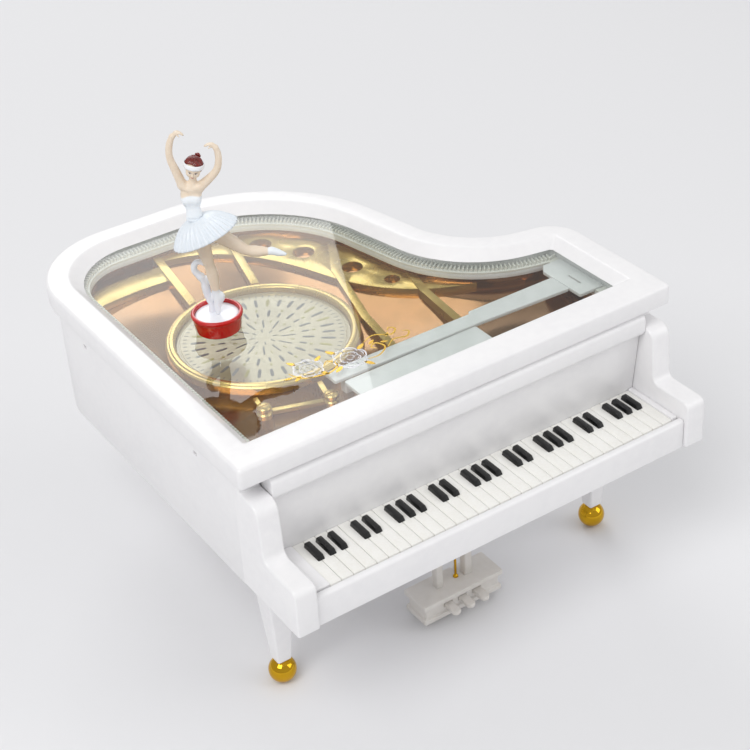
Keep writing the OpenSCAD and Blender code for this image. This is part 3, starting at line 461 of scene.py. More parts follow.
def shader_group(name: str, inputs: dict[str, tuple[str, object]], outputs: dict[str, str]
                 ) -> tuple[bpy.types.NodeTree, bpy.types.Node, bpy.types.Node]:
    """A new shader node group with named sockets.

    Args:
        name: the group's name.
        inputs: each input's kind and default.
        outputs: each output's kind.

    Returns:
        The group, its input node and its output node.
    """
    tree = bpy.data.node_groups.new(name, "ShaderNodeTree")
    for key, (kind, default) in inputs.items():
        socket = tree.interface.new_socket(key, in_out="INPUT", socket_type="NodeSocket" + kind)
        if default is not None:
            socket.default_value = default
    for key, kind in outputs.items():
        tree.interface.new_socket(key, in_out="OUTPUT", socket_type="NodeSocket" + kind)
    return tree, tree.nodes.new("NodeGroupInput"), tree.nodes.new("NodeGroupOutput")


def noise(tree: bpy.types.NodeTree, detail: float) -> bpy.types.Node:
    """A noise texture of the given detail."""
    node = tree.nodes.new("ShaderNodeTexNoise")
    node.inputs["Detail"].default_value = detail
    return node


def mottle_group() -> bpy.types.NodeTree:
    """Colour that drifts a little between two tones over the surface."""
    tree, given, out = shader_group(
        "Mottle",
        {"Vector": ("Vector", None), "Tone": ("Color", (1, 1, 1, 1)),
         "Second": ("Color", (1, 1, 1, 1)), "Scale": ("Float", 40.0), "Share": ("Float", 0.5)},
        {"Color": "Color", "Mask": "Float"})
    wide, fine = noise(tree, 3), noise(tree, 6)
    mix, scale, ease = (tree.nodes.new(k) for k in
                        ("ShaderNodeMix", "ShaderNodeMath", "ShaderNodeMapRange"))
    both = tree.nodes.new("ShaderNodeMath")
    mix.data_type = "RGBA"
    scale.operation, scale.inputs[1].default_value = "MULTIPLY", 7.0
    both.operation = "MULTIPLY"
    ease.inputs["From Min"].default_value, ease.inputs["From Max"].default_value = 0.16, 0.36
    link = tree.links.new
    for node in (wide, fine):
        link(given.outputs["Vector"], node.inputs["Vector"])
    link(given.outputs["Scale"], wide.inputs["Scale"])
    link(given.outputs["Scale"], scale.inputs[0])
    link(scale.outputs[0], fine.inputs["Scale"])
    link(wide.outputs["Fac"], both.inputs[0])
    link(fine.outputs["Fac"], both.inputs[1])
    link(both.outputs[0], ease.inputs["Value"])
    link(given.outputs["Share"], ease.inputs["To Max"])
    link(ease.outputs["Result"], mix.inputs["Factor"])
    link(given.outputs["Tone"], mix.inputs["A"])
    link(given.outputs["Second"], mix.inputs["B"])
    link(mix.outputs["Result"], out.inputs["Color"])
    link(ease.outputs["Result"], out.inputs["Mask"])
    return tree


def handling_group() -> bpy.types.NodeTree:
    """Roughness that a cloth and fingers have left uneven."""
    tree, given, out = shader_group(
        "Handling",
        {"Vector": ("Vector", None), "Roughness": ("Float", 0.3), "Spread": ("Float", 0.08),
         "Scale": ("Float", 60.0)},
        {"Roughness": "Float"})
    film = noise(tree, 5)
    film.inputs["Distortion"].default_value = 0.6
    span = tree.nodes.new("ShaderNodeMapRange")
    low, high = tree.nodes.new("ShaderNodeMath"), tree.nodes.new("ShaderNodeMath")
    low.operation, high.operation = "SUBTRACT", "ADD"
    span.inputs["From Min"].default_value, span.inputs["From Max"].default_value = 0.3, 0.7
    link = tree.links.new
    link(given.outputs["Vector"], film.inputs["Vector"])
    link(given.outputs["Scale"], film.inputs["Scale"])
    for node in (low, high):
        link(given.outputs["Roughness"], node.inputs[0])
        link(given.outputs["Spread"], node.inputs[1])
    link(film.outputs["Fac"], span.inputs["Value"])
    link(low.outputs[0], span.inputs["To Min"])
    link(high.outputs[0], span.inputs["To Max"])
    link(span.outputs["Result"], out.inputs["Roughness"])
    return tree


def grain_group() -> bpy.types.NodeTree:
    """Height of a moulded, brushed or cast grain."""
    tree, given, out = shader_group(
        "Grain",
        {"Vector": ("Vector", None), "Stretch": ("Vector", (1, 1, 1)), "Scale": ("Float", 400.0),
         "Ripple": ("Float", 60.0)},
        {"Height": "Float"})
    pull = tree.nodes.new("ShaderNodeVectorMath")
    pull.operation = "MULTIPLY"
    fine, slow = noise(tree, 4), noise(tree, 2)
    both = tree.nodes.new("ShaderNodeMath")
    both.operation = "ADD"
    link = tree.links.new
    link(given.outputs["Vector"], pull.inputs[0])
    link(given.outputs["Stretch"], pull.inputs[1])
    link(pull.outputs[0], fine.inputs["Vector"])
    link(given.outputs["Vector"], slow.inputs["Vector"])
    link(given.outputs["Scale"], fine.inputs["Scale"])
    link(given.outputs["Ripple"], slow.inputs["Scale"])
    link(fine.outputs["Fac"], both.inputs[0])
    link(slow.outputs["Fac"], both.inputs[1])
    link(both.outputs[0], out.inputs["Height"])
    return tree


GROUPS: dict[str, bpy.types.NodeTree] = {}


def group(name: str) -> bpy.types.NodeTree:
    """The shader group of that name, made the first time it is asked for."""
    makers = {"Mottle": mottle_group, "Handling": handling_group, "Grain": grain_group}
    if name not in GROUPS:
        GROUPS[name] = makers[name]()
    return GROUPS[name]


def srgb(code: str) -> tuple[float, float, float, float]:
    """A web colour as linear light."""
    parts = [int(code[i:i + 2], 16) / 255 for i in (1, 3, 5)]
    linear = [c / 12.92 if c <= 0.04045 else ((c + 0.055) / 1.055) ** 2.4 for c in parts]
    return linear[0], linear[1], linear[2], 1.0


@dataclass(frozen=True)
class Finish:
    """A surface finish.

    Attributes:
        name: the material's name.
        tone: main colour.
        second: colour that it drifts towards.
        share: how far it drifts.
        rough: roughness.
        spread: how much the roughness varies.
        metal: 1 for metal, else 0.
        coat: weight of a clear coat.
        scale: scale of the colour drift, per metre.
        grain: scale of the grain, per metre.
        stretch: the grain's stretch along X, Y and Z.
        bump: height of the grain in micrometres.
        painted: colour of the areas that the mesh's paint attribute marks.
        sink: subsurface weight, for thick milky plastic.
    """

    name: str
    tone: str
    second: str
    share: float = 0.5
    rough: float = 0.3
    spread: float = 0.06
    metal: float = 0.0
    coat: float = 0.0
    scale: float = 45.0
    grain: float = 1500.0
    stretch: tuple[float, float, float] = (1, 1, 1)
    bump: float = 4.0
    painted: str = ""
    sink: float = 0.0

    @cache
    def material(self) -> bpy.types.Material:
        """The finish as a material, made once."""
        made = bpy.data.materials.new(self.name + "_finish")
        made.use_nodes = True
        tree = made.node_tree
        shader = tree.nodes["Principled BSDF"]
        place = tree.nodes.new("ShaderNodeTexCoord").outputs["Object"]
        mottle = self.placed(tree, "Mottle", place, Tone=srgb(self.tone),
                             Second=srgb(self.second), Scale=self.scale, Share=self.share)
        colour = mottle.outputs["Color"]
        if self.painted:
            colour = self.paint_over(tree, colour)
        tree.links.new(colour, shader.inputs["Base Color"])
        worn = self.placed(tree, "Handling", place, Roughness=self.rough, Spread=self.spread)
        tree.links.new(worn.outputs["Roughness"], shader.inputs["Roughness"])
        grain = self.placed(tree, "Grain", place, Scale=self.grain, Stretch=self.stretch)
        bump = tree.nodes.new("ShaderNodeBump")
        bump.inputs["Strength"].default_value = 0.5
        bump.inputs["Distance"].default_value = self.bump * 1e-6
        tree.links.new(grain.outputs["Height"], bump.inputs["Height"])
        tree.links.new(bump.outputs["Normal"], shader.inputs["Normal"])
        shader.inputs["Metallic"].default_value = self.metal
        shader.inputs["Coat Weight"].default_value = self.coat
        shader.inputs["Coat Roughness"].default_value = 0.08
        if self.sink:
            shader.inputs["Subsurface Weight"].default_value = self.sink
            shader.inputs["Subsurface Radius"].default_value = (1, 0.9, 0.8)
            shader.inputs["Subsurface Scale"].default_value = 0.0012
        return made

    def placed(self, tree: bpy.types.NodeTree, name: str, vector: bpy.types.NodeSocket,
               **values: object) -> bpy.types.Node:
        """Puts a shader group into a tree with its own values."""
        node = tree.nodes.new("ShaderNodeGroup")
        node.node_tree = group(name)
        for key, value in values.items():
            node.inputs[key].default_value = value
        tree.links.new(vector, node.inputs["Vector"])
        return node

    def paint_over(self, tree: bpy.types.NodeTree, colour: bpy.types.NodeSocket
                   ) -> bpy.types.NodeSocket:
        """Mixes the paint's colour over the base where the mesh says so."""
        mask, mix = tree.nodes.new("ShaderNodeAttribute"), tree.nodes.new("ShaderNodeMix")
        mask.attribute_name = "paint"
        mix.data_type = "RGBA"
        mix.inputs["B"].default_value = srgb(self.painted)
        tree.links.new(mask.outputs["Fac"], mix.inputs["Factor"])
        tree.links.new(colour, mix.inputs["A"])
        return mix.outputs["Result"]


@dataclass(frozen=True)
class Acrylic:
    """Clear polished sheet that lets lamps through and mirrors by angle.

    Attributes:
        name: the material's name.
        tint: colour of what shows through.
        gloss: how strongly it mirrors.
    """

    name: str = "clear_acrylic"
    tint: str = "#f7f9f8"
    gloss: float = 1.0

    @cache
    def material(self) -> bpy.types.Material:
        """The sheet as a material, made once."""
        made = bpy.data.materials.new(self.name)
        made.use_nodes = True
        tree = made.node_tree
        tree.nodes.remove(tree.nodes["Principled BSDF"])
        place = tree.nodes.new("ShaderNodeTexCoord").outputs["Object"]
        film = tree.nodes.new("ShaderNodeGroup")
        film.node_tree = group("Mottle")
        film.inputs["Tone"].default_value = srgb(self.tint)
        film.inputs["Second"].default_value = srgb("#eef1ef")
        film.inputs["Scale"].default_value = 30.0
        clear, mirror, mix, fresnel, back, share = (
            tree.nodes.new("ShaderNode" + k) for k in
            ("BsdfTransparent", "BsdfGlossy", "MixShader", "Fresnel", "NewGeometry", "Math"))
        mirror.inputs["Roughness"].default_value = 0.02
        mirror.inputs["Color"].default_value = (self.gloss,) * 3 + (1,)
        fresnel.inputs["IOR"].default_value = 1.49
        link = tree.links.new
        link(place, film.inputs["Vector"])
        link(film.outputs["Color"], clear.inputs["Color"])
        outer = tree.nodes.new("ShaderNodeMath")
        outer.operation, share.operation = "MULTIPLY", "SUBTRACT"
        share.inputs[0].default_value = 1.0
        link(back.outputs["Backfacing"], share.inputs[1])
        link(fresnel.outputs["Fac"], outer.inputs[0])
        link(share.outputs[0], outer.inputs[1])
        link(outer.outputs[0], mix.inputs["Fac"])
        link(clear.outputs[0], mix.inputs[1])
        link(mirror.outputs[0], mix.inputs[2])
        link(mix.outputs[0], tree.nodes["Material Output"].inputs["Surface"])
        return made


class Finishes(Enum):
    """Every finish on the piano, under its own name."""

    CASE = Finish("case_white", "#f1f0f1", "#eae9eb", rough=0.34, bump=6, coat=0.15)
    LYRE = Finish("lyre_white", "#dedad5", "#d3cec7", rough=0.36, bump=6, sink=0.1)
    RIB = Finish("rib_white", "#f3f1ec", "#e6e3da", rough=0.25, bump=3)
    WHITE_KEY = Finish("key_white", "#f3f2ee", "#ebe9e2", rough=0.22, scale=220, bump=3, coat=0.2)
    BLACK_KEY = Finish("key_black", "#0b0b0c", "#161617", rough=0.3, scale=300, bump=5)
    CLEAR = Acrylic()
    AMBER = Finish("amber_mirror", "#a9794a", "#9c6c3e", rough=0.10, spread=0.04, metal=0.85,
                   scale=25, bump=0.6, coat=0.5)
    GILT = Finish("gilt", "#e0c078", "#cfa954", rough=0.27, spread=0.08, metal=0.85, bump=4,
                  coat=0.3)
    DIAL = Finish("dial_print", "#bcae92", "#b0a184", rough=0.3, spread=0.05, metal=0.25,
                  scale=60, bump=1.5, coat=0.6)
    BALL = Finish("ball_gold", "#d9ab2c", "#c79318", rough=0.07, spread=0.04, metal=1, bump=1)
    SCREW = Finish("screw_steel", "#c3c5c8", "#a9abae", rough=0.28, metal=1, bump=5,
                   stretch=(1, 1, 0.1))
    ZINC = Finish("zinc", "#bcbec1", "#a5a7aa", rough=0.42, metal=1, bump=12, grain=700)
    COMB = Finish("comb_steel", "#cfd1d5", "#b9bbc0", rough=0.24, metal=1, bump=6,
                  stretch=(1, 0.06, 1))
    SPRING = Finish("spring_steel", "#6d7580", "#59606b", rough=0.3, metal=1, bump=4,
                    stretch=(1, 1, 0.1))
    BRASS = Finish("brass", "#cfa548", "#b98d33", rough=0.26, metal=1, bump=5,
                   stretch=(1, 1, 0.15))
    FLY = Finish("fly_metal", "#d3d5d8", "#bfc1c4", rough=0.3, metal=1, bump=5)
    MAGNET = Finish("magnet", "#9b9ea3", "#87898e", rough=0.22, metal=1, bump=3)
    NYLON = Finish("gear_nylon", "#f0ede4", "#e4e0d3", rough=0.45, bump=6, sink=0.2)
    STAND = Finish("stand_red", "#c80606", "#b00404", rough=0.14, bump=2, coat=0.7, scale=90)
    STAND_WHITE = Finish("stand_white", "#f1f3f8", "#e9ecf3", rough=0.25, bump=3, sink=0.15,
                         coat=0.2, scale=120)
    SKIN = Finish("figure_skin", "#ecdcc8", "#e4cfb6", rough=0.38, bump=3, scale=160, sink=0.12,
                  painted="#eef3f8")
    DRESS = Finish("dress", "#eaf0f6", "#dfe8f1", rough=0.3, bump=3, scale=140, sink=0.12)
    HAIR = Finish("hair_red", "#7d140c", "#4a0a06", rough=0.25, bump=30, grain=2600, scale=500,
                  stretch=(0.25, 1, 1), coat=0.4, share=0.8)
    BAND = Finish("band_white", "#f2f4f8", "#e8ebf2", rough=0.28, bump=3, scale=200)
    DASH = Finish("dial_grey_print", "#7f7a79", "#6f6b72", rough=0.4, scale=400, bump=2)
    OLIVE = Finish("dial_olive_print", "#b5aa6a", "#a89b55", rough=0.4, scale=400, bump=2)
    SILVER = Finish("silver_print", "#d9d9de", "#b9bac2", rough=0.3, metal=0.4, scale=300, bump=2)
    LEAF = Finish("gold_print", "#d9b24a", "#b98c22", rough=0.25, metal=0.7, scale=300, bump=3)
    FEATURE = Finish("face_brown", "#5a3226", "#46251b", rough=0.4, scale=600, bump=2)
    LIP = Finish("face_rose", "#c4605c", "#b4504e", rough=0.35, scale=600, bump=2)

    @property
    def material(self) -> bpy.types.Material:
        """The finish's material."""
        return self.value.material()


@dataclass
class Workshop:
    """Hands each finished piece over to the frame and counts it."""

    made: list[str] = field(default_factory=list)

    def deliver(self, obj: bpy.types.Object, finish: Finishes, body: str = "case",
                nodes: Sequence[str] = ()) -> bpy.types.Object:
        """Dresses a piece, makes it ride on its body and stand for its nodes.

        Args:
            obj: the piece.
            finish: its finish.
            body: the body that it rides on.
            nodes: the construction's nodes that it stands for.

        Returns:
            The piece.
        """
        obj.data.materials.clear()
        obj.data.materials.append(finish.material)
        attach(obj, body)
        if nodes:
            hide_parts(*nodes)
        self.made.append(obj.name)
        log.info("%s: %d faces on %s", obj.name, len(obj.data.polygons), body)
        return obj


SHOP = Workshop()


# ---------------------------------------------------------------- repeated shapes


class GeometryTree:
    """A Geometry Nodes tree that is built step by step, with named inputs."""

    def __init__(self, name: str, inputs: dict[str, tuple[str, object]]) -> None:
        """Makes the tree and its named inputs."""
        self.tree = bpy.data.node_groups.new(name, "GeometryNodeTree")
        new = self.tree.interface.new_socket
        new("Geometry", in_out="INPUT", socket_type="NodeSocketGeometry")
        for key, (kind, default) in inputs.items():
            socket = new(key, in_out="INPUT", socket_type="NodeSocket" + kind)
            if default is not None:
                socket.default_value = default
        new("Geometry", in_out="OUTPUT", socket_type="NodeSocketGeometry")
        self.given = self.tree.nodes.new("NodeGroupInput")
        self.out = self.tree.nodes.new("NodeGroupOutput")

    def node(self, kind: str, **links: object) -> bpy.types.Node:
        """Adds a node; each keyword is an input's name, and a socket or a value for it."""
        made = self.tree.nodes.new(kind)
        for key, value in links.items():
            target = made.inputs[key.replace("_", " ")]
            if isinstance(value, bpy.types.NodeSocket):
                self.tree.links.new(value, target)
            else:
                target.default_value = value
        return made

    def math(self, operation: str, a: bpy.types.NodeSocket, b: object) -> bpy.types.NodeSocket:
        """Adds a sum of two values and gives its result."""
        made = self.tree.nodes.new("ShaderNodeMath")
        made.operation = operation
        self.tree.links.new(a, made.inputs[0])
        if isinstance(b, bpy.types.NodeSocket):
            self.tree.links.new(b, made.inputs[1])
        else:
            made.inputs[1].default_value = b
        return made.outputs[0]

    def end(self, instances: bpy.types.NodeSocket) -> bpy.types.NodeTree:
        """Realizes the copies, gives them their material and closes the tree."""
        real = self.node("GeometryNodeRealizeInstances", Geometry=instances)
        dressed = self.node("GeometryNodeSetMaterial", Geometry=real.outputs[0],
                            Material=self.given.outputs["Material"])
        self.tree.links.new(dressed.outputs[0], self.out.inputs["Geometry"])
        return self.tree


def row_tree() -> bpy.types.NodeTree:
    """Copies of a shape at even steps along a line, each turned along it."""
    t = GeometryTree("CopiesAlongLine", {
        "Shape": ("Object", None), "Pitch": ("Float", 0.0015), "Size": ("Vector", (1, 1, 1)),
        "Unevenness": ("Float", 0.0), "Seed": ("Int", 7), "Material": ("Material", None)})
    line = t.node("GeometryNodeMeshToCurve", Mesh=t.given.outputs["Geometry"])
    length = t.node("GeometryNodeCurveLength", Curve=line.outputs[0])
    steps = t.math("DIVIDE", length.outputs[0], t.given.outputs["Pitch"])
    count = t.math("ADD", t.math("ROUND", steps, 0.0), 1.0)
    points = t.node("GeometryNodeCurveToPoints", Curve=line.outputs[0], Count=count)
    chance = t.node("FunctionNodeRandomValue", Seed=t.given.outputs["Seed"])
    lean = t.math("MULTIPLY", [s for s in chance.outputs if s.type == "VALUE"][0],
                  t.given.outputs["Unevenness"])
    turn = t.node("FunctionNodeAlignRotationToVector", Vector=points.outputs["Tangent"])
    turn.axis, turn.pivot_axis = "X", "Z"
    spin = t.node("FunctionNodeEulerToRotation", Euler=t.node(
        "ShaderNodeCombineXYZ", X=lean).outputs[0])
    leaned = t.node("FunctionNodeRotateRotation")
    leaned.rotation_space = "LOCAL"
    t.tree.links.new(turn.outputs[0], leaned.inputs[0])
    t.tree.links.new(spin.outputs[0], leaned.inputs[1])
    shape = t.node("GeometryNodeObjectInfo", Object=t.given.outputs["Shape"])
    put = t.node("GeometryNodeInstanceOnPoints", Points=points.outputs["Points"],
                 Instance=shape.outputs["Geometry"], Rotation=leaned.outputs[0],
                 Scale=t.given.outputs["Size"])
    return t.end(put.outputs[0])


def spot_tree() -> bpy.types.NodeTree:
    """A copy of a shape at each point, with the turn and size that the point holds."""
    t = GeometryTree("CopiesAtPoints", {
        "Shape": ("Object", None), "Size": ("Vector", (1, 1, 1)), "Material": ("Material", None)})
    turn = t.node("GeometryNodeInputNamedAttribute", Name="turn")
    size = t.node("GeometryNodeInputNamedAttribute", Name="size")
    turn.data_type = size.data_type = "FLOAT_VECTOR"
    spin = t.node("FunctionNodeEulerToRotation")
    t.tree.links.new(turn.outputs[0], spin.inputs[0])
    whole = t.node("ShaderNodeVectorMath")
    whole.operation = "MULTIPLY"
    t.tree.links.new(size.outputs[0], whole.inputs[0])
    t.tree.links.new(t.given.outputs["Size"], whole.inputs[1])
    shape = t.node("GeometryNodeObjectInfo", Object=t.given.outputs["Shape"])
    put = t.node("GeometryNodeInstanceOnPoints", Points=t.given.outputs["Geometry"],
                 Instance=shape.outputs["Geometry"])
    t.tree.links.new(spin.outputs[0], put.inputs["Rotation"])
    t.tree.links.new(whole.outputs[0], put.inputs["Scale"])
    return t.end(put.outputs[0])


TREES: dict[str, bpy.types.NodeTree] = {}


class Repeat(Enum):
    """The ways in which a shape is repeated."""

    ROW = "row"
    SPOTS = "spots"

    def tree(self) -> bpy.types.NodeTree:
        """The Geometry Nodes tree, built the first time it is asked for."""
        if self.value not in TREES:
            TREES[self.value] = row_tree() if self is Repeat.ROW else spot_tree()
        return TREES[self.value]


def repeated(guide: bpy.types.Object, how: Repeat, finish: Finishes,
             shape: bpy.types.Object, **values: object) -> bpy.types.Object:
    """Repeats a shape over a guide and keeps the result as a plain mesh.

    Args:
        guide: the line or points; it becomes the piece.
        how: the tree to use.
        finish: the copies' finish.
        shape: what is repeated; it is removed afterwards.
        **values: the tree's other named inputs.

    Returns:
        The guide, which now holds the copies.
    """
    modifier = guide.modifiers.new("Copies", "NODES")
    modifier.node_group = how.tree()
    values.update(Shape=shape, Material=finish.material)
    for item in how.tree().interface.items_tree:
        key = getattr(item, "name", "")
        if getattr(item, "in_out", "") == "INPUT" and key in values:
            modifier[item.identifier] = values[key]
    modified(guide)
    bpy.data.objects.remove(shape)
    return guide


def guide_line(name: str, points: Sequence[Point]) -> bpy.types.Object:
    """A line of edges through plan points."""
    mesh = bpy.data.meshes.new(name)
    mesh.from_pydata([PLAN.place(p) for p in points],
                     [(i, i + 1) for i in range(len(points) - 1)], [])
    obj = bpy.data.objects.new(name, mesh)
    bpy.context.scene.collection.objects.link(obj)
    return obj


def guide_spots(name: str, spots: Sequence[tuple[Point, Point, Point]]) -> bpy.types.Object:
    """Loose points, each with the turn and size of what stands there.

    Args:
        name: the piece's name.
        spots: for each point its place in plan, its turn in radians and its size.

    Returns:
        The object that holds them.
    """
    mesh = bpy.data.meshes.new(name)
    mesh.from_pydata([PLAN.place(s[0]) for s in spots], [], [])
    for key, column in (("turn", 1), ("size", 2)):
        attribute = mesh.attributes.new(key, "FLOAT_VECTOR", "POINT")
        attribute.data.foreach_set("vector", [float(c) for s in spots for c in s[column]])
    obj = bpy.data.objects.new(name, mesh)
    bpy.context.scene.collection.objects.link(obj)
    return obj


def unit_shape(obj: bpy.types.Object) -> bpy.types.Object:
    """Moves a shape drawn round the plan's origin to the frame's, for copying."""
    obj.data.transform(Matrix.Translation(-PLAN.corner))
    return obj


# ---------------------------------------------------------------- soft bars and plates


class Axis(Enum):
    """Which way a section is pulled."""

    X = "x"
    Z = "z"

    def point(self, u: float, v: float, w: float) -> tuple[float, float, float]:
        """The plan point of a section's point (u, v) at w along the axis."""
        return (w, u, v) if self is Axis.X else (u, v, w)


def moved_in(points: Sequence[Point], gap: float) -> list[np.ndarray]:
    """An anticlockwise polygon's corners moved inwards by gap."""
    pts = [np.array(p, float) for p in points]
    n = len(pts)
    out = []
    for i, b in enumerate(pts):
        u, v = unit(b - pts[i - 1]), unit(pts[(i + 1) % n] - b)
        cross = u[0] * v[1] - u[1] * v[0]
        p, q = b + gap * np.array([-u[1], u[0]]), b + gap * np.array([-v[1], v[0]])
        reach = q - p
        out.append((p + q) / 2 if abs(cross) < 1e-6
                   else p + u * (reach[0] * v[1] - reach[1] * v[0]) / cross)
    return out


def turning(points: Sequence[Point], i: int) -> float:
    """Positive where an outline turns left at corner i."""
    pts = [np.array(p, float) for p in points]
    u, v = pts[i] - pts[i - 1], pts[(i + 1) % len(pts)] - pts[i]
    return float(u[0] * v[1] - u[1] * v[0])


def soft_bar(name: str, corners: Sequence[Point], radii: Sequence[float], low: float,
             high: float, ease: float, axis: Axis = Axis.X) -> bpy.types.Object:
    """A section with rounded corners, pulled along an axis, with rounded rims.

    Args:
        name: the piece's name.
        corners: the section's corners, as (y, z) along X or (x, y) along Z.
        radii: the radius of each corner.
        low: where it starts.
        high: where it ends.
        ease: radius of its rims.
        axis: which way it is pulled.

    Returns:
        The piece.
    """
    pts = [np.array(p, float) for p in corners]
    radii = list(radii)
    area = sum(p[0] * q[1] - p[1] * q[0] for p, q in zip(pts, pts[1:] + pts[:1]))
    if area < 0:
        pts.reverse()
        radii.reverse()
    rings = []
    for end, sign in ((low, 1), (high, -1)):
        stack = []
        for t in np.linspace(0, math.pi / 2, 5):
            gap, w = ease * (1 - math.sin(t)), end + sign * ease * (1 - math.cos(t))
            near = [max(r - gap, 0.05) if turning(pts, i) > 0 else r + gap
                    for i, r in enumerate(radii)]
            stack.append([axis.point(p[0], p[1], w) for p in rounded(moved_in(pts, gap), near)])
        rings += stack if sign > 0 else stack[::-1]
    return mesh_object(name, *loft(rings))


def soft_box(name: str, x: Point, y: Point, z: Point, ease: float, corner: float = 0.6
             ) -> bpy.types.Object:
    """A moulded block with rounded upright edges and rims."""
    return soft_bar(name, rectangle(x, y), [corner] * 4, z[0], z[1], ease, Axis.Z)


def merged(name: str, objects: Sequence[bpy.types.Object]) -> bpy.types.Object:
    """Several objects as one piece under a new name."""
    first = objects[0]
    with bpy.context.temp_override(active_object=first, selected_editable_objects=list(objects)):
        bpy.ops.object.join()
    first.name = first.data.name = name
    return first


def softened(node: str, width: float) -> bpy.types.Object:
    """A copy of a construction node with its edges eased by width."""
    obj = bpy.data.objects.new(node + "_seen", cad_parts[node].data.copy())
    bpy.context.scene.collection.objects.link(obj)
    finish_mesh(obj, Shade.EDGED)
    return eased(obj, width, 2, 35)


# ---------------------------------------------------------------- case


@dataclass
class Lid:
    """The lid frame, its clear cover and the ribs under the cover's edge."""

    rib_pitch: float = 1.5
    rib_length: float = 3.0
    rib_width: float = 0.62
    cover_inset: float = 10.5
    open_radii: tuple[float, ...] = (1, 1, 1.6, 42.5, 53, 25.5)

    def build(self) -> None:
        """Makes the frame, the cover, the rib strip and the ribs."""
        self.build_frame()
        self.build_cover()
        self.build_ribs()

    def opening(self, inset: float) -> list[np.ndarray]:
        """The opening's outline at a distance from the lid's edge."""
        pts = PLAN.inset_corners(inset, inset + PLAN.front_rim)
        return rounded(pts, self.open_radii, PLAN.arc_step)

    def build_frame(self) -> None:
        """The frame: a soft outer edge, a flat rim and a sloped inner edge."""
        low, high = PLAN.level("lid_frame", False), PLAN.level("lid_frame")
        cover = PLAN.level("clear_cover")
        outer = [(0.5 * (1 - math.sin(t)), low + 0.5 * (1 - math.cos(t)))
                 for t in np.linspace(0, math.pi / 2, 4)]
        outer += [(1.3 * (1 - math.cos(t)), high - 1.3 * (1 - math.sin(t)))
                  for t in np.linspace(0, math.pi / 2, 7)]
        rings = [[(*p, z) for p in PLAN.outline(i, i)] for i, z in outer]
        slope = [(PLAN.rim - 0.7, high), (PLAN.rim - 0.25, high - 0.06),
                 (PLAN.rim + 0.15, high - 0.3), (PLAN.rim + 0.5, high - 0.62),
                 (PLAN.open_inset - 0.3, cover + 0.3), (PLAN.open_inset, cover)]
        rings += [[(*p, z) for p in self.opening(i)] for i, z in slope]
        inner = self.cover_inset - 0.1
        rings += [[(*p, z) for p in PLAN.outline(inner, inner + PLAN.front_rim)]
                  for z in (cover, low)]
        obj = mesh_object("lid_rim", *loft(rings, closed=True))
        SHOP.deliver(obj, Finishes.CASE, nodes=["lid_frame"])

    def build_cover(self) -> None:
        """The clear sheet that closes the lid."""
        low, high = PLAN.level("clear_cover", False), PLAN.level("clear_cover")
        rings = [[(*p, z) for p in PLAN.outline(self.cover_inset + d,
                                                self.cover_inset + d + PLAN.front_rim)]
                 for d, z in ((0.25, low), (0, low + 0.25), (0, high - 0.25), (0.25, high))]
        obj = mesh_object("cover_sheet", *loft(rings))
        SHOP.deliver(obj, Finishes.CLEAR, nodes=["clear_cover"])

    def build_ribs(self) -> None:
        """The strip under the cover's edge and its row of short ribs."""
        strip = softened("rib_strip", 0.12)
        strip.name = "rib_strip_seen"
        SHOP.deliver(strip, Finishes.RIB, nodes=["rib_strip"])
        mid = self.cover_inset + 2.2
        line = PLAN.outline(mid, mid + PLAN.front_rim)
        corner = line[:]
        start = next(i for i, p in enumerate(corner) if p[1] > 30 and p[0] > 100) + 3
        line = corner[start:] + [np.array([mid, y]) for y in (40.0, 17.5)]
        z = PLAN.level("rib_strip")
        guide = guide_line("lid_ribs", [(*p, z) for p in line])
        rib = unit_shape(soft_box("rib", (-self.rib_width / 2, self.rib_width / 2),
                                  (-self.rib_length / 2, self.rib_length / 2), (-0.2, 1.25),
                                  0.2, 0.25))
        repeated(guide, Repeat.ROW, Finishes.RIB, rib, Pitch=self.rib_pitch * MM,
                 Unevenness=0.0, Seed=11)
        SHOP.deliver(guide, Finishes.RIB)


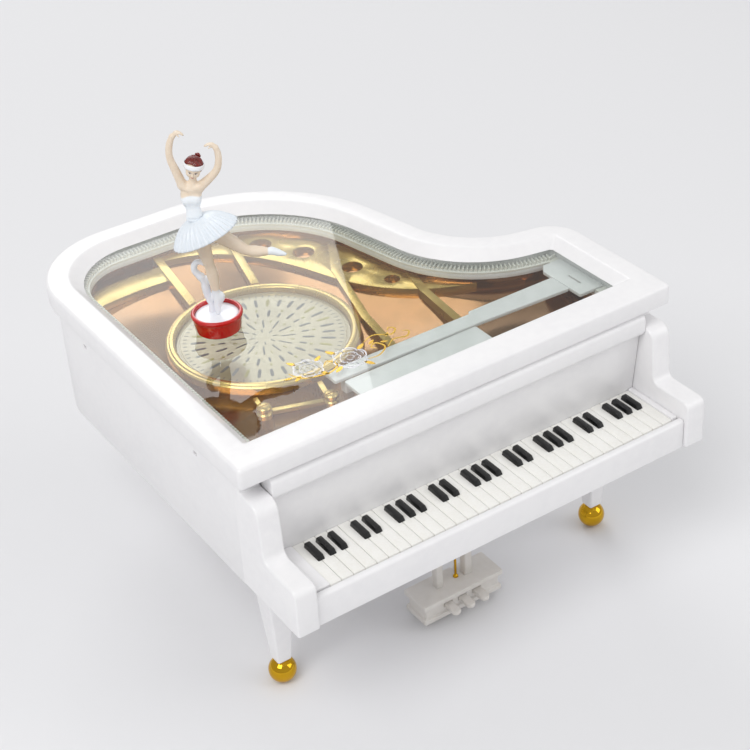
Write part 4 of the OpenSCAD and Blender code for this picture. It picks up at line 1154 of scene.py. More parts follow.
@dataclass
class Case:
    """The walls, the cheeks and what shows through the lid beside the dial."""

    cheek_z: tuple[float, float, float] = (55.9, 73.9, 93.9)
    slot_y: tuple[float, float] = (34.2, 113.2)
    front_wall: float = 7.0
    cheek_back: float = 11.0
    boss_at: tuple[tuple[float, float], ...] = (
        (7.2, 34), (7.2, 112), (162.8, 34), (119.8, 90), (46, 154.3))

    def build(self) -> None:
        """Makes the walls, the cheeks, the rail parts and the inner frame."""
        self.build_walls()
        for side, x in (("bass", PLAN.overhang),
                        ("treble", PLAN.size[0] - PLAN.overhang - PLAN.cheek)):
            self.build_cheek(side, x)
        self.build_rail()
        for node, name, finish, width in (
                ("inner_frame", "inner_ledge", Finishes.CASE, 0.15),
                ("mirror_tray", "mirror_floor", Finishes.AMBER, 0.12),
                ("base_plate", "bottom_plate", Finishes.CASE, 0.25)):
            piece = softened(node, width)
            piece.name = name
            SHOP.deliver(piece, finish, nodes=[node])

    def ring(self, outer: float, inner: float, front: float, z: Sequence[Point]
             ) -> bpy.types.Object:
        """A wall that follows the outline and is open at the front.

        Args:
            outer: inset of its outside.
            inner: inset of its inside.
            front: where it ends at the front.
            z: (ease, height) of each section, from the bottom up.

        Returns:
            The wall.
        """
        per = len(PLAN.outline(outer, front))
        skip = per // 2
        first = next(i for i, p in enumerate(PLAN.outline(outer, front))
                     if i > 2 and p[1] > front + 3 and p[0] > skip)
        rings = []
        for gap, height in z:
            out, into = (PLAN.outline(i, front) for i in (outer + gap, inner - gap))
            side = out[first:] + [np.array([out[-1][0], front])]
            side = [np.array([out[first][0], front])] + side
            back = into[first:] + [np.array([into[-1][0], front])]
            back = [np.array([into[first][0], front])] + back
            rings.append([(*p, height) for p in side + back[::-1]])
        return mesh_object("ring", *loft(rings))

    def build_walls(self) -> None:
        """The bent wall with the slots of its bass side, its ledge and its screw bosses."""
        low, high = PLAN.level("case_shell", False), PLAN.level("case_shell")
        wall = self.ring(PLAN.overhang, PLAN.overhang + PLAN.wall, self.cheek_back - 0.7,
                         [(0.35, low), (0.1, low + 0.1), (0, low + 0.35), (0, high - 0.2),
                          (0.15, high)])
        cuts = [soft_box("slot", (PLAN.overhang - 1, PLAN.overhang + PLAN.wall + 1),
                         (y - 1.1, y + 1.1), (high - 7.5, high - 6.1), 0.2, 0.2)
                for y in self.slot_y]
        cut(wall, cuts)
        frame_z = PLAN.level("inner_frame", False)
        ledge = self.ring(PLAN.overhang + 0.5, PLAN.overhang + PLAN.wall + 2.2, 20,
                          [(0, frame_z - 1.6), (0, frame_z)])
        deck = PLAN.level("base_plate")
        bosses = [turned("boss", p, round_profile(
            [(0.9, deck), (3, deck), (3, deck + 12), (0.9, deck + 12)], [0.1, 0.1, 0.5, 0.2]), 32)
            for p in self.boss_at]
        SHOP.deliver(merged("case_walls", [wall, ledge, *bosses]), Finishes.CASE,
                     nodes=["case_shell"])

    def build_cheek(self, side: str, x: float) -> None:
        """One cheek: the arm beside the keys and the scroll that carries the lid."""
        low, arm, step = self.cheek_z
        high, front, back = PLAN.level("case_shell"), -PLAN.cheek_reach, self.cheek_back
        corners = [(back, low), (front, low), (front, arm), (-4.6, arm), (-3.2, step),
                   (self.front_wall, step), (self.front_wall, high), (back, high)]
        obj = soft_bar("cheek_" + side, corners, [0.3, 1.0, 2.6, 2.8, 4.4, 0.6, 0.4, 0.3], x,
                       x + PLAN.cheek, 0.75)
        SHOP.deliver(obj, Finishes.CASE, nodes=["case_shell"])

    def build_rail(self) -> None:
        """The bare rail in front of the dial, its bracket and the small shelf."""
        z, top = PLAN.level("shelf_tab", False), PLAN.level("shelf_tab")
        floor = PLAN.level("mirror_tray", False) + 1.5
        rail = soft_bar("rail", [(53, 30), (111, 29.2), (148.3, 27.4), (148.3, 37), (112, 37.2),
                                 (111, 35.8), (53, 36.4)], [0.5, 3, 0.5, 0.5, 0.5, 0.5, 0.5],
                        z, top, 0.3, Axis.Z)
        posts = [soft_box("post", (x - 1.5, x + 1.5), (31, 34.4), (floor, z + 0.2), 0.1)
                 for x in (59, 92)]
        SHOP.deliver(merged("name_rail", [rail, *posts]), Finishes.CASE, nodes=["belly_rail"])
        bracket = soft_bar("hinge_bracket", [(148.5, 21.8), (158.9, 21.8), (158.9, 45.4),
                                             (151.2, 45.4), (148.5, 42)],
                           [0.8, 0.4, 0.4, 0.8, 0.8], z, top, 0.3, Axis.Z)
        slit = soft_box("slit", (153.1, 154), (27.5, 34.4), (z - 1, top + 1), 0.1, 0.2)
        SHOP.deliver(cut(bracket, [slit]), Finishes.CASE, nodes=["rail_bracket"])
        tab = soft_bar("front_shelf", rectangle((55.3, 108.4), (13.9, 28.2)), [0.8] * 4, z, top,
                       0.3, Axis.Z)
        SHOP.deliver(tab, Finishes.CASE, nodes=["shelf_tab"])


@dataclass
class Keyboard:
    """The key slip, the keys, the blocks beside them, the fallboard and the nosing."""

    x: tuple[float, float] = (10.6, 159.4)
    slip: tuple[float, float] = (-20.8, -18.0)
    key_y: tuple[float, float] = (-17.2, 5.6)
    panel_y: float = 5.7
    keys_x: tuple[float, float] = (17.78, 157.3)
    count: int = 32
    gap: float = 0.2
    black: tuple[float, float, float] = (2.5, 9.0, 1.6)

    def build(self) -> None:
        """Makes every part of the keyboard."""
        self.build_bed()
        self.build_white()
        self.build_black()
        self.build_blocks()
        self.build_boards()

    @property
    def pitch(self) -> float:
        """Width taken by one white key."""
        return (self.keys_x[1] - self.keys_x[0]) / self.count

    def black_after(self, i: int) -> bool:
        """True where a black key stands after white key i; the lowest white key is an F."""
        return (i + 3) % 7 not in (2, 6)

    def build_bed(self) -> None:
        """The slip in front of the keys and the shelf and ribs under them."""
        low, top = PLAN.level("keybed", False), PLAN.level("keybed")
        y0, y1 = self.slip
        slip = soft_bar("slip", [(y0, low), (y1, low), (y1, top), (y0, top)],
                        [0.4, 0.4, 1.1, 1.1], *self.x, 0.3)
        under = PLAN.level("white_keys", False)
        shelf = soft_box("shelf", self.x, (y0 + 2, self.panel_y + 2), (under - 2, under), 0.2)
        ribs = [soft_box("rib", (x, x + 2), (y0 + 3.2, self.panel_y), (low + 2.2, under - 1), 0.2)
                for x in (self.x[0], 84, self.x[1] - 2)]
        SHOP.deliver(merged("key_bed", [slip, shelf, *ribs]), Finishes.CASE, nodes=["keybed"])

    def build_white(self) -> None:
        """The white keys: copies of one key with a rounded lip."""
        low, top = PLAN.level("white_keys", False), PLAN.level("white_keys")
        half = (self.pitch - self.gap) / 2
        y0, y1 = self.key_y
        key = soft_bar("key", [(y0, low), (y1, low), (y1, top), (y0 + 0.2, top), (y0, top - 0.8)],
                       [0.2, 0.1, 0.1, 0.5, 0.3], -half, half, 0.22)
        unit_shape(key)
        first = self.keys_x[0] + self.pitch / 2
        guide = guide_line("white_key_row", [(first, 0, 0), (first + self.pitch * (self.count - 1),
                                                             0, 0)])
        repeated(guide, Repeat.ROW, Finishes.WHITE_KEY, key, Pitch=self.pitch * MM, Seed=3)
        SHOP.deliver(guide, Finishes.WHITE_KEY, nodes=["white_keys"])

    def build_black(self) -> None:
        """The black keys: copies of one tapered key at their places."""
        base, top = PLAN.level("black_keys", False), PLAN.level("black_keys")
        width, length, _ = self.black
        y1 = self.panel_y - 2.5
        rings = []
        for z, side, front in ((base, 0, 0), (top - 0.35, 0.16, 0.7), (top - 0.1, 0.3, 0.85),
                               (top, 0.5, 1.1)):
            half = width / 2 - side
            rings.append([(*p, z) for p in rounded(
                rectangle((-half, half), (y1 - length + front, y1 - side)), [0.35] * 4, 30)])
        key = unit_shape(mesh_object("key", *loft(rings)))
        spots = [((self.keys_x[0] + (i + 1) * self.pitch, 0, 0), (0, 0, 0), (1, 1, 1))
                 for i in range(self.count - 1) if self.black_after(i)]
        guide = guide_spots("black_key_row", spots)
        repeated(guide, Repeat.SPOTS, Finishes.BLACK_KEY, key, Size=(1, 1, 1))
        SHOP.deliver(guide, Finishes.BLACK_KEY, nodes=["black_keys"])

    def build_blocks(self) -> None:
        """The blocks at both ends of the keys."""
        low, top = PLAN.level("key_blocks", False), PLAN.level("key_blocks")
        ends = [(self.x[0], self.keys_x[0]), (self.keys_x[1], self.x[1])]
        blocks = [soft_bar("block", [(self.key_y[0], low), (self.key_y[1], low),
                                     (self.key_y[1], top), (self.key_y[0], top)],
                           [0.3, 0.2, 0.2, 0.6], *x, 0.25) for x in ends]
        SHOP.deliver(merged("end_blocks", blocks), Finishes.CASE, nodes=["key_blocks"])

    def build_boards(self) -> None:
        """The panel behind the keys and the rounded nosing above it."""
        low, top = PLAN.level("fallboard", False), PLAN.level("fallboard")
        keys = PLAN.level("white_keys")
        board = soft_bar("fall_panel", [(self.panel_y, low), (self.panel_y + 2, low),
                                        (self.panel_y + 2, top), (3, top),
                                        (self.panel_y, keys + 1)],
                         [0.1, 0.3, 0.3, 0.4, 2], *self.x, 0.2)
        SHOP.deliver(board, Finishes.CASE, nodes=["fallboard"])
        low, top = PLAN.level("nosing", False), PLAN.level("nosing")
        bar = soft_bar("nosing_bar", [(0.2, low), (7.6, low), (7.6, top), (3, top),
                                      (0.2, low + 7)], [2.2, 0.3, 0.3, 0.4, 2], *self.x, 0.2)
        SHOP.deliver(bar, Finishes.CASE, nodes=["nosing"])


# ---------------------------------------------------------------- legs and pedals


@dataclass
class Leg:
    """One tapered leg on its ball foot."""

    name: str
    top: float = 11.8
    foot: float = 5.4
    ball: float = 9.8

    def build(self) -> None:
        """Makes the leg and the ball."""
        x, y = PLAN.centre("leg_" + self.name)
        low, high = PLAN.level("leg_" + self.name, False), PLAN.level("leg_" + self.name)
        levels = [(low, self.foot - 1.9, 0.5), (low + 0.25, self.foot - 1.1, 0.6),
                  (low + 0.8, self.foot - 0.15, 0.7), (low + 1.3, self.foot, 0.75)]
        levels += [(low + 1.3 + (high - low - 1.8) * t, self.foot + (self.top - self.foot) * t,
                    0.75 + 0.5 * t) for t in (0.25, 0.5, 0.75, 1)]
        levels.append((high, self.top - 0.5, 1.1))
        rings = []
        for z, width, r in levels:
            half = width / 2
            square = rectangle((x - half, x + half), (y - half, y + half))
            rings.append([(*p, z) for p in rounded(square, [r] * 4, 15)])
        obj = mesh_object("tapered_leg_" + self.name, *loft(rings))
        SHOP.deliver(obj, Finishes.CASE, nodes=["leg_" + self.name])
        self.build_ball(x, y, low)

    def build_ball(self, x: float, y: float, leg_z: float) -> None:
        """The polished ball with the collar that meets the leg."""
        node = "foot_" + self.name
        r = self.ball / 2
        mid = r - 0.15
        arc = [(r * math.cos(t), mid + r * math.sin(t)) for t in
               np.linspace(math.radians(-75.9), math.radians(63), 26)]
        arc[0] = (arc[0][0], 0.0)
        profile = [(0, 0), *arc, (2.2, leg_z - 0.55), (2.55, leg_z - 0.4), (2.55, leg_z - 0.1),
                   (2.3, leg_z + 0.05), (1.45, leg_z + 0.1), (1.45, leg_z + 4.8),
                   (0, leg_z + 4.9)]
        obj = turned("ball_" + node, (x, y), profile, 72)
        SHOP.deliver(obj, Finishes.BALL, nodes=[node])


@dataclass
class Lyre:
    """The pedal lyre: two posts, a brass rod, the box and three pedals."""

    post_x: tuple[tuple[float, float], ...] = ((77.4, 80.2), (89.6, 92.8))
    post_y: tuple[float, float] = (12.5, 15.9)
    box_x: tuple[float, float] = (67.9, 102.1)
    box_y: tuple[float, float] = (6.9, 19.7)
    pitch: float = 6.2
    pedal: tuple[float, float, float] = (3.4, 5.0, 1.6)
    reach: float = 3.4

    def build(self) -> None:
        """Makes every part of the lyre."""
        low, high = PLAN.level("lyre_posts", False), PLAN.level("lyre_posts")
        posts = [soft_box("post", x, self.post_y, (low - 0.3, high), 0.2, 0.55)
                 for x in self.post_x]
        SHOP.deliver(merged("lyre_columns", posts), Finishes.LYRE, nodes=["lyre_posts"])
        rod_at = PLAN.centre("lyre_rod")
        rod = turned("pedal_rod", rod_at, [
            (0, low), (0.95, low), (0.95, low + 0.5), (0.7, low + 0.9), (0.45, low + 1.1),
            (0.45, high - 0.2), (0, high)], 24)
        SHOP.deliver(rod, Finishes.BALL, nodes=["lyre_rod"])
        self.build_box()
        self.build_pedals()

    def build_box(self) -> None:
        """The box with its cornice, waist and plinth, slotted for the pedals."""
        low, top = PLAN.level("pedal_box", False), PLAN.level("pedal_box")
        section = [(0.7, low), (0.45, low + 0.12), (0.4, low + 0.35), (0.4, low + 1.55),
                   (0.55, low + 1.85), (0.95, low + 2.05), (1.2, low + 2.35), (1.2, top - 2.6),
                   (0.95, top - 2.3), (0.2, top - 2.1), (0, top - 1.85), (0, top - 0.3),
                   (0.1, top - 0.1), (0.35, top)]
        rings = []
        for gap, z in section:
            shape = rectangle((self.box_x[0] + gap, self.box_x[1] - gap),
                              (self.box_y[0] + gap, self.box_y[1] - gap))
            rings.append([(*p, z) for p in rounded(shape, [0.5] * 4, 22)])
        box = mesh_object("lyre_box", *loft(rings))
        mid = (low + top) / 2
        width, root, height = self.pedal
        cuts = [soft_box("slot", (x - width / 2 - 0.15, x + width / 2 + 0.15),
                         (self.box_y[0] - 1, self.box_y[0] + root),
                         (mid - height / 2 - 0.15, mid + height / 2 + 0.15), 0.1, 0.1)
                for x in self.pedal_x]
        for edge in (self.post_x[0][1] + 1.2, self.post_x[1][0] - 1.2):
            back = self.box_y[1]
            notch = [[(edge - w, back + 0.5, z), (edge, back - 1.5, z), (edge + w, back + 0.5, z)]
                     for z, w in ((top - 2, 1.1), (top + 1, 1.1))]
            cuts.append(mesh_object("notch", *loft(notch)))
        SHOP.deliver(cut(box, cuts), Finishes.LYRE, nodes=["pedal_box"])

    @property
    def pedal_x(self) -> list[float]:
        """The pedals' middles."""
        mid = sum(self.box_x) / 2
        return [mid + i * self.pitch for i in (-1, 0, 1)]

    def build_pedals(self) -> None:
        """Three round-ended pedals with a soft worn top."""
        low, top = PLAN.level("pedals", False), PLAN.level("pedals")
        width, root, _ = self.pedal
        y0 = self.box_y[0]
        rings = []
        for gap, z in ((0.3, low), (0.08, low + 0.08), (0, low + 0.3), (0, top - 0.35),
                       (0.12, top - 0.12), (0.45, top)):
            r = width / 2 - gap
            tip = [(r * math.cos(t), y0 - self.reach + r * math.sin(t), z)
                   for t in np.linspace(math.pi, 2 * math.pi, 15)]
            rings.append(tip + [(r, y0 + root - gap, z), (-r, y0 + root - gap, z)])
        shape = unit_shape(mesh_object("pedal", *loft(rings)))
        guide = guide_spots("pedal_row", [((x, 0, 0), (0, 0, 0), (1, 1, 1))
                                          for x in self.pedal_x])
        repeated(guide, Repeat.SPOTS, Finishes.LYRE, shape, Size=(1, 1, 1))
        SHOP.deliver(guide, Finishes.LYRE, nodes=["pedals"])


# ---------------------------------------------------------------- dial and harp


@dataclass
class Dial:
    """The gilt ring, the printed disc and the gilt work round them."""

    ring: tuple[float, float] = (30.3, 33.7)
    seed: int = 5

    def build(self) -> None:
        """Makes the ring, the disc, its print and the gilt fittings."""
        centre = PLAN.centre("dial_ring")
        low, top = PLAN.level("dial_ring", False), PLAN.level("dial_ring")
        r0, r1 = self.ring
        ring = turned("gilt_ring", centre, round_profile(
            [(r0, low), (r1, low), (r1, top - 1), (r1 - 0.6, top - 0.5), (r1 - 1.2, top - 0.45),
             (r1 - 1.5, top), (r0 + 0.7, top), (r0, top - 0.6)],
            [0.1, 0.1, 0.35, 0.15, 0.15, 0.3, 0.5, 0.3]), 180)
        SHOP.deliver(ring, Finishes.GILT, nodes=["dial_ring"])
        face = PLAN.level("dial_disc")
        disc = turned("dial_face", centre, [
            (0, low), (r0 - 0.15, low), (r0 - 0.1, face - 0.2), (r0 - 0.3, face), (29.2, face),
            (29.05, face - 0.1), (28.7, face - 0.1), (28.55, face), (0, face)], 160)
        SHOP.deliver(disc, Finishes.DIAL, nodes=["dial_disc"])
        self.build_print(centre, face)
        self.build_gilt()

    def build_print(self, centre: Point, z: float) -> None:
        """A sunburst of dashes: a fringe of short marks, a wide ring and broken rays."""
        grey, olive = [], []
        rng = np.random.default_rng(self.seed)

        def mark(lot: list, r: float, turn: float, length: float, width: float,
                 lean: float = 0.0) -> None:
            """Adds one dash to a lot: its middle's radius, its turn, length, width and lean."""
            at = (centre[0] + r * math.cos(turn), centre[1] + r * math.sin(turn), z)
            lot.append((at, (0, 0, turn + lean), (length, width, 1)))

        for i in range(72):
            mark(grey, 27.2, i * math.tau / 72, 1.5, 0.34)
        for i in range(34):
            turn = (i + 0.25) * math.tau / 34
            lot = olive if i % 4 == 1 else grey
            mark(lot, 22.6, turn, 4.4 + 0.8 * rng.random(), 1.15)
        for i in range(24):
            turn = (i + 0.5) * math.tau / 24
            if i % 2:
                mark(grey, 15.6, turn, 4.2, 1.0)
            else:
                mark(grey, 14.6, turn, 2.6, 0.8)
                mark(olive, 17.6, turn, 1.2, 0.8)
        for i in range(12):
            turn = i * math.tau / 12
            mark(grey, 8.6, turn, 5.2, 0.62, 0.06)
            mark(olive, 10.2, turn + math.tau / 24, 1.6, 0.5)
        for i in range(8):
            mark(grey, 4.0, (i + 0.5) * math.tau / 8, 1.8, 0.45)
        for name, lot, finish in (("dial_dashes", grey, Finishes.DASH),
                                  ("dial_gleams", olive, Finishes.OLIVE)):
            half = 0.5
            shape = soft_bar("dash", [(-half, -half), (half, -half), (half, half),
                                      (-half, half)], [0.28] * 4, -0.02, 0.05, 0.02, Axis.Z)
            guide = guide_spots(name, lot)
            repeated(guide, Repeat.SPOTS, finish, unit_shape(shape), Size=(1, 1, 1))
            SHOP.deliver(guide, finish)

    def build_gilt(self) -> None:
        """The harp plate, the bars and the two turned bosses."""
        for node, name in (("harp_plate", "gilt_harp"), ("gilt_bars", "gilt_struts")):
            piece = softened(node, 0.3)
            piece.name = name
            SHOP.deliver(piece, Finishes.GILT, nodes=[node])
        low, top = PLAN.level("gilt_bosses", False), PLAN.level("gilt_bosses")
        bosses = []
        for at in ((29.9, 36.8), (50.9, 29.5)):
            knob = turned("knob", at, [
                (0, low), (2.5, low), (2.5, low + 1.4), (2.3, low + 1.65), (1.85, low + 1.95),
                (1.85, low + 2.35), (2.2, low + 2.55), (2.45, low + 2.85), (2.45, top - 0.6),
                (2.2, top - 0.25), (1.7, top), (0, top)], 40)
            slit = soft_box("slit", (at[0] - 3, at[0] + 3), (at[1] - 0.3, at[1] + 0.3),
                            (top - 0.5, top + 1), 0.05, 0.1)
            bosses.append(cut(knob, [slit]))
        SHOP.deliver(merged("gilt_knobs", bosses), Finishes.GILT, nodes=["gilt_bosses"])


@dataclass
class CoverPrint:
    """Two blossoms, leaves and a scroll printed on the clear cover."""

    blossoms: tuple[tuple[float, float, float], ...] = ((48.2, 38.4, 5.6), (62.4, 35.2, 6.4))
    thick: float = 0.05

    def build(self) -> None:
        """Makes the petals, the leaves and the scrolls."""
        self.z = PLAN.level("clear_cover")
        petals, leaves = [], []
        for cx, cy, r in self.blossoms:
            for row, (count, share, wide) in enumerate(((6, 0.66, 0.62), (5, 0.36, 0.42),
                                                        (3, 0.14, 0.24))):
                for i in range(count):
                    turn = (i + 0.5 * row) * math.tau / count
                    at = (cx + share * r * math.cos(turn), cy + share * r * math.sin(turn),
                          self.z + 0.05 * row)
                    petals.append((at, (0, 0, turn - math.pi / 2), (r * wide, r * wide * 0.8, 1)))
            for i in range(4):
                turn = 0.5 + i * math.tau / 4
                at = (cx + 1.12 * r * math.cos(turn), cy + 1.12 * r * math.sin(turn), self.z)
                leaves.append((at, (0, 0, turn), (r * 0.6, r * 0.32, 1)))
        for x, y, turn, size in ((73.0, 38.6, 0.5, 3.0), (76.6, 36.4, -0.4, 2.6),
                                 (79.8, 39.4, 0.7, 2.4), (40.0, 37.2, 2.9, 2.6)):
            leaves.append(((x, y, self.z), (0, 0, turn), (size, size * 0.5, 1)))
        self.copies("print_petals", petals, self.petal(), Finishes.SILVER)
        self.copies("print_leaves", leaves, self.leaf(), Finishes.LEAF)
        self.scrolls()

    def copies(self, name: str, spots: list, shape: bpy.types.Object, finish: Finishes) -> None:
        """Sets copies of a printed shape on the cover."""
        guide = guide_spots(name, spots)
        repeated(guide, Repeat.SPOTS, finish, shape, Size=(1, 1, 1))
        SHOP.deliver(guide, finish)

    def petal(self) -> bpy.types.Object:
        """One open petal: an arched line with a curled lip, about one unit wide."""
        arch = smooth_path([(-0.5, -0.35), (-0.62, 0.1), (-0.3, 0.5), (0.1, 0.52), (0.55, 0.2),
                            (0.45, -0.3)], 6)
        lip = smooth_path([(-0.4, 0.12), (-0.1, 0.3), (0.3, 0.12)], 5)
        return unit_shape(joined("petal", [self.stroke(arch, 0.075), self.stroke(lip, 0.05)]))

    def leaf(self) -> bpy.types.Object:
        """One pointed leaf with a slit along its middle, about one unit long."""
        edge = smooth_path([(-0.5, 0), (-0.2, 0.36), (0.3, 0.3), (0.6, 0)], 6)
        back = [np.array([p[0], -p[1]]) for p in edge[::-1]]
        ring = edge + back[1:-1]
        rings = [[(p[0], p[1], z) for p in ring] for z in (0.0, self.thick)]
        return unit_shape(mesh_object("leaf", *loft(rings)))

    def stroke(self, path: Sequence[np.ndarray], width: float, z: float = 0.0
               ) -> tuple[list[Point], list[list[int]]]:
        """A flat line along a path, thinner towards its ends."""
        rings = []
        for i, p in enumerate(path):
            t = unit(path[min(i + 1, len(path) - 1)] - path[max(i - 1, 0)])
            side = np.array([-t[1], t[0]])
            w = width * (0.35 + 0.65 * math.sin(math.pi * (i + 0.5) / len(path)))
            a, b = p + side * w, p - side * w
            rings.append([(a[0], a[1], z), (b[0], b[1], z), (b[0], b[1], z + self.thick),
                          (a[0], a[1], z + self.thick)])
        return loft(rings)

    def scrolls(self) -> None:
        """Curling stems that tie the blossoms and the leaves together."""
        stems = (
            [(41.5, 39.5), (44.0, 34.6), (52.0, 32.0), (57.0, 34.4), (55.6, 38.2), (53.4, 37.0)],
            [(66.5, 31.0), (71.0, 30.6), (75.2, 33.6), (74.0, 37.4), (71.4, 36.2), (72.6, 34.4)],
            [(71.0, 40.2), (76.0, 41.8), (81.0, 38.6), (84.0, 40.6), (82.8, 42.6), (81.4, 41.4)],
            [(76.0, 33.0), (80.0, 35.6), (84.4, 34.4), (86.8, 36.6), (85.2, 38.2)])
        lines = [self.stroke(smooth_path(stem, 10), 0.32, self.z) for stem in stems]
        SHOP.deliver(joined("print_scrolls", lines), Finishes.LEAF)


# ---------------------------------------------------------------- clay


@dataclass(frozen=True)
class Lump:
    """One lump of clay.

    Attributes:
        joints: points along a limb, each with its radius; one joint is a ball.
        size: the ball's radii, if it isn't round.
        blend: how widely it melts into the rest.
        carve: True where it is taken away.
    """

    joints: tuple[tuple[float, ...], ...]
    size: tuple[float, float, float] | None
    blend: float
    carve: bool = False

    def reach(self) -> tuple[np.ndarray, np.ndarray]:
        """The box that the lump fills."""
        points = np.array(self.joints, float)
        r = points[:, 3:4] if self.size is None else np.array([self.size])
        return (points[:, :3] - r).min(0), (points[:, :3] + r).max(0)

    def distance(self, p: np.ndarray) -> np.ndarray:
        """Distance of points from the lump's skin, negative inside."""
        joints = np.array(self.joints, np.float32)
        if self.size is not None:
            r = np.array(self.size, np.float32)
            k0 = np.linalg.norm((p - joints[0, :3]) / r, axis=-1)
            k1 = np.linalg.norm((p - joints[0, :3]) / (r * r), axis=-1)
            return k0 * (k0 - 1) / np.maximum(k1, 1e-6)
        best = np.full(p.shape[:3], 99, np.float32)
        for a, b in zip(joints, joints[1:]):
            d = b[:3] - a[:3]
            t = np.clip(((p - a[:3]) @ d) / float(d @ d), 0, 1)
            gap = np.linalg.norm(p - a[:3] - t[..., None] * d, axis=-1)
            best = np.minimum(best, gap - (a[3] + t * (b[3] - a[3])))
        return best


@dataclass
class Clay:
    """A soft solid built from lumps and skinned where its field crosses zero."""

    pitch: float
    lumps: list[Lump] = field(default_factory=list)

    def chain(self, joints: Sequence[tuple[float, float, float, float]], blend: float = 0.8
              ) -> None:
        """Adds a limb along a smooth path through points that carry a radius."""
        path = smooth_path(joints, 5) if len(joints) > 2 else joints
        self.lumps.append(Lump(tuple(tuple(map(float, p)) for p in path), None, blend))

    def ball(self, centre: Point, radii: float | Point, blend: float = 0.6,
             carve: bool = False) -> None:
        """Adds or carves a ball or an egg."""
        size = (radii,) * 3 if isinstance(radii, (int, float)) else tuple(radii)
        self.lumps.append(Lump((tuple(map(float, centre)),), size, blend, carve))

    def field(self) -> tuple[np.ndarray, np.ndarray]:
        """The distance field on a grid, and the grid's first corner."""
        spans = [lump.reach() for lump in self.lumps if not lump.carve]
        low = np.min([s[0] for s in spans], axis=0) - 4 * self.pitch
        high = np.max([s[1] for s in spans], axis=0) + 4 * self.pitch
        shape = np.ceil((high - low) / self.pitch).astype(int) + 1
        out = np.full(shape, 9.0, np.float32)
        for lump in self.lumps:
            a, b = lump.reach()
            pad = lump.blend + 3 * self.pitch
            i0 = np.maximum(((a - pad - low) / self.pitch).astype(int), 0)
            i1 = np.minimum(((b + pad - low) / self.pitch).astype(int) + 2, shape)
            if (i1 <= i0).any():
                continue
            axes = [(low[k] + self.pitch * np.arange(i0[k], i1[k])).astype(np.float32)
                    for k in range(3)]
            d = lump.distance(np.stack(np.meshgrid(*axes, indexing="ij"), axis=-1))
            block = tuple(slice(i0[k], i1[k]) for k in range(3))
            out[block] = self.melt(out[block], d, lump)
        return out, low

    @staticmethod
    def melt(old: np.ndarray, new: np.ndarray, lump: Lump) -> np.ndarray:
        """Joins a lump's field to the rest, or takes it away, with a soft seam."""
        other = -new if lump.carve else new
        h = np.maximum(lump.blend - np.abs(old - other), 0) / lump.blend
        soft = h * h * lump.blend / 4
        return np.maximum(old, other) + soft if lump.carve else np.minimum(old, other) - soft

    def skin(self) -> tuple[np.ndarray, np.ndarray]:
        """Faces where the field crosses zero, with one point in each crossed cell.

        Returns:
            Points in millimetres and quads.
        """
        f, low = self.field()
        inside = f < 0
        n = np.array(f.shape) - 1
        cell = [slice(0, -1), slice(1, None)]
        total = sum(inside[cell[i], cell[j], cell[k]].astype(np.int8)
                    for i in (0, 1) for j in (0, 1) for k in (0, 1))
        active = np.argwhere((total > 0) & (total < 8))
        number = np.full(n, -1, np.int64)
        number[tuple(active.T)] = np.arange(len(active))
        places = np.zeros((len(active), 3))
        count = np.zeros(len(active))
        quads = []
        for axis in range(3):
            u, v = [k for k in range(3) if k != axis]
            step = np.eye(3, dtype=int)
            for du in (0, 1):
                for dv in (0, 1):
                    p = active + du * step[u] + dv * step[v]
                    q = p + step[axis]
                    fp, fq = f[tuple(p.T)], f[tuple(q.T)]
                    hit = (fp < 0) != (fq < 0)
                    t = np.where(hit, fp / np.where(hit, fp - fq, 1), 0)
                    places += hit[:, None] * (p + t[:, None] * step[axis])
                    count += hit
            a = [slice(None)] * 3
            b = [slice(None)] * 3
            a[axis], b[axis] = slice(0, -1), slice(1, None)
            edge = np.argwhere(inside[tuple(a)] != inside[tuple(b)])
            edge = edge[(edge[:, u] > 0) & (edge[:, v] > 0)]
            quads.append(np.stack([number[tuple((edge - du * step[u] - dv * step[v]).T)]
                                   for du, dv in ((0, 0), (1, 0), (1, 1), (0, 1))], axis=1))
        points = low + self.pitch * places / count[:, None]
        faces = np.concatenate(quads)
        return points, faces[(faces >= 0).all(axis=1)]


# ---------------------------------------------------------------- dancer


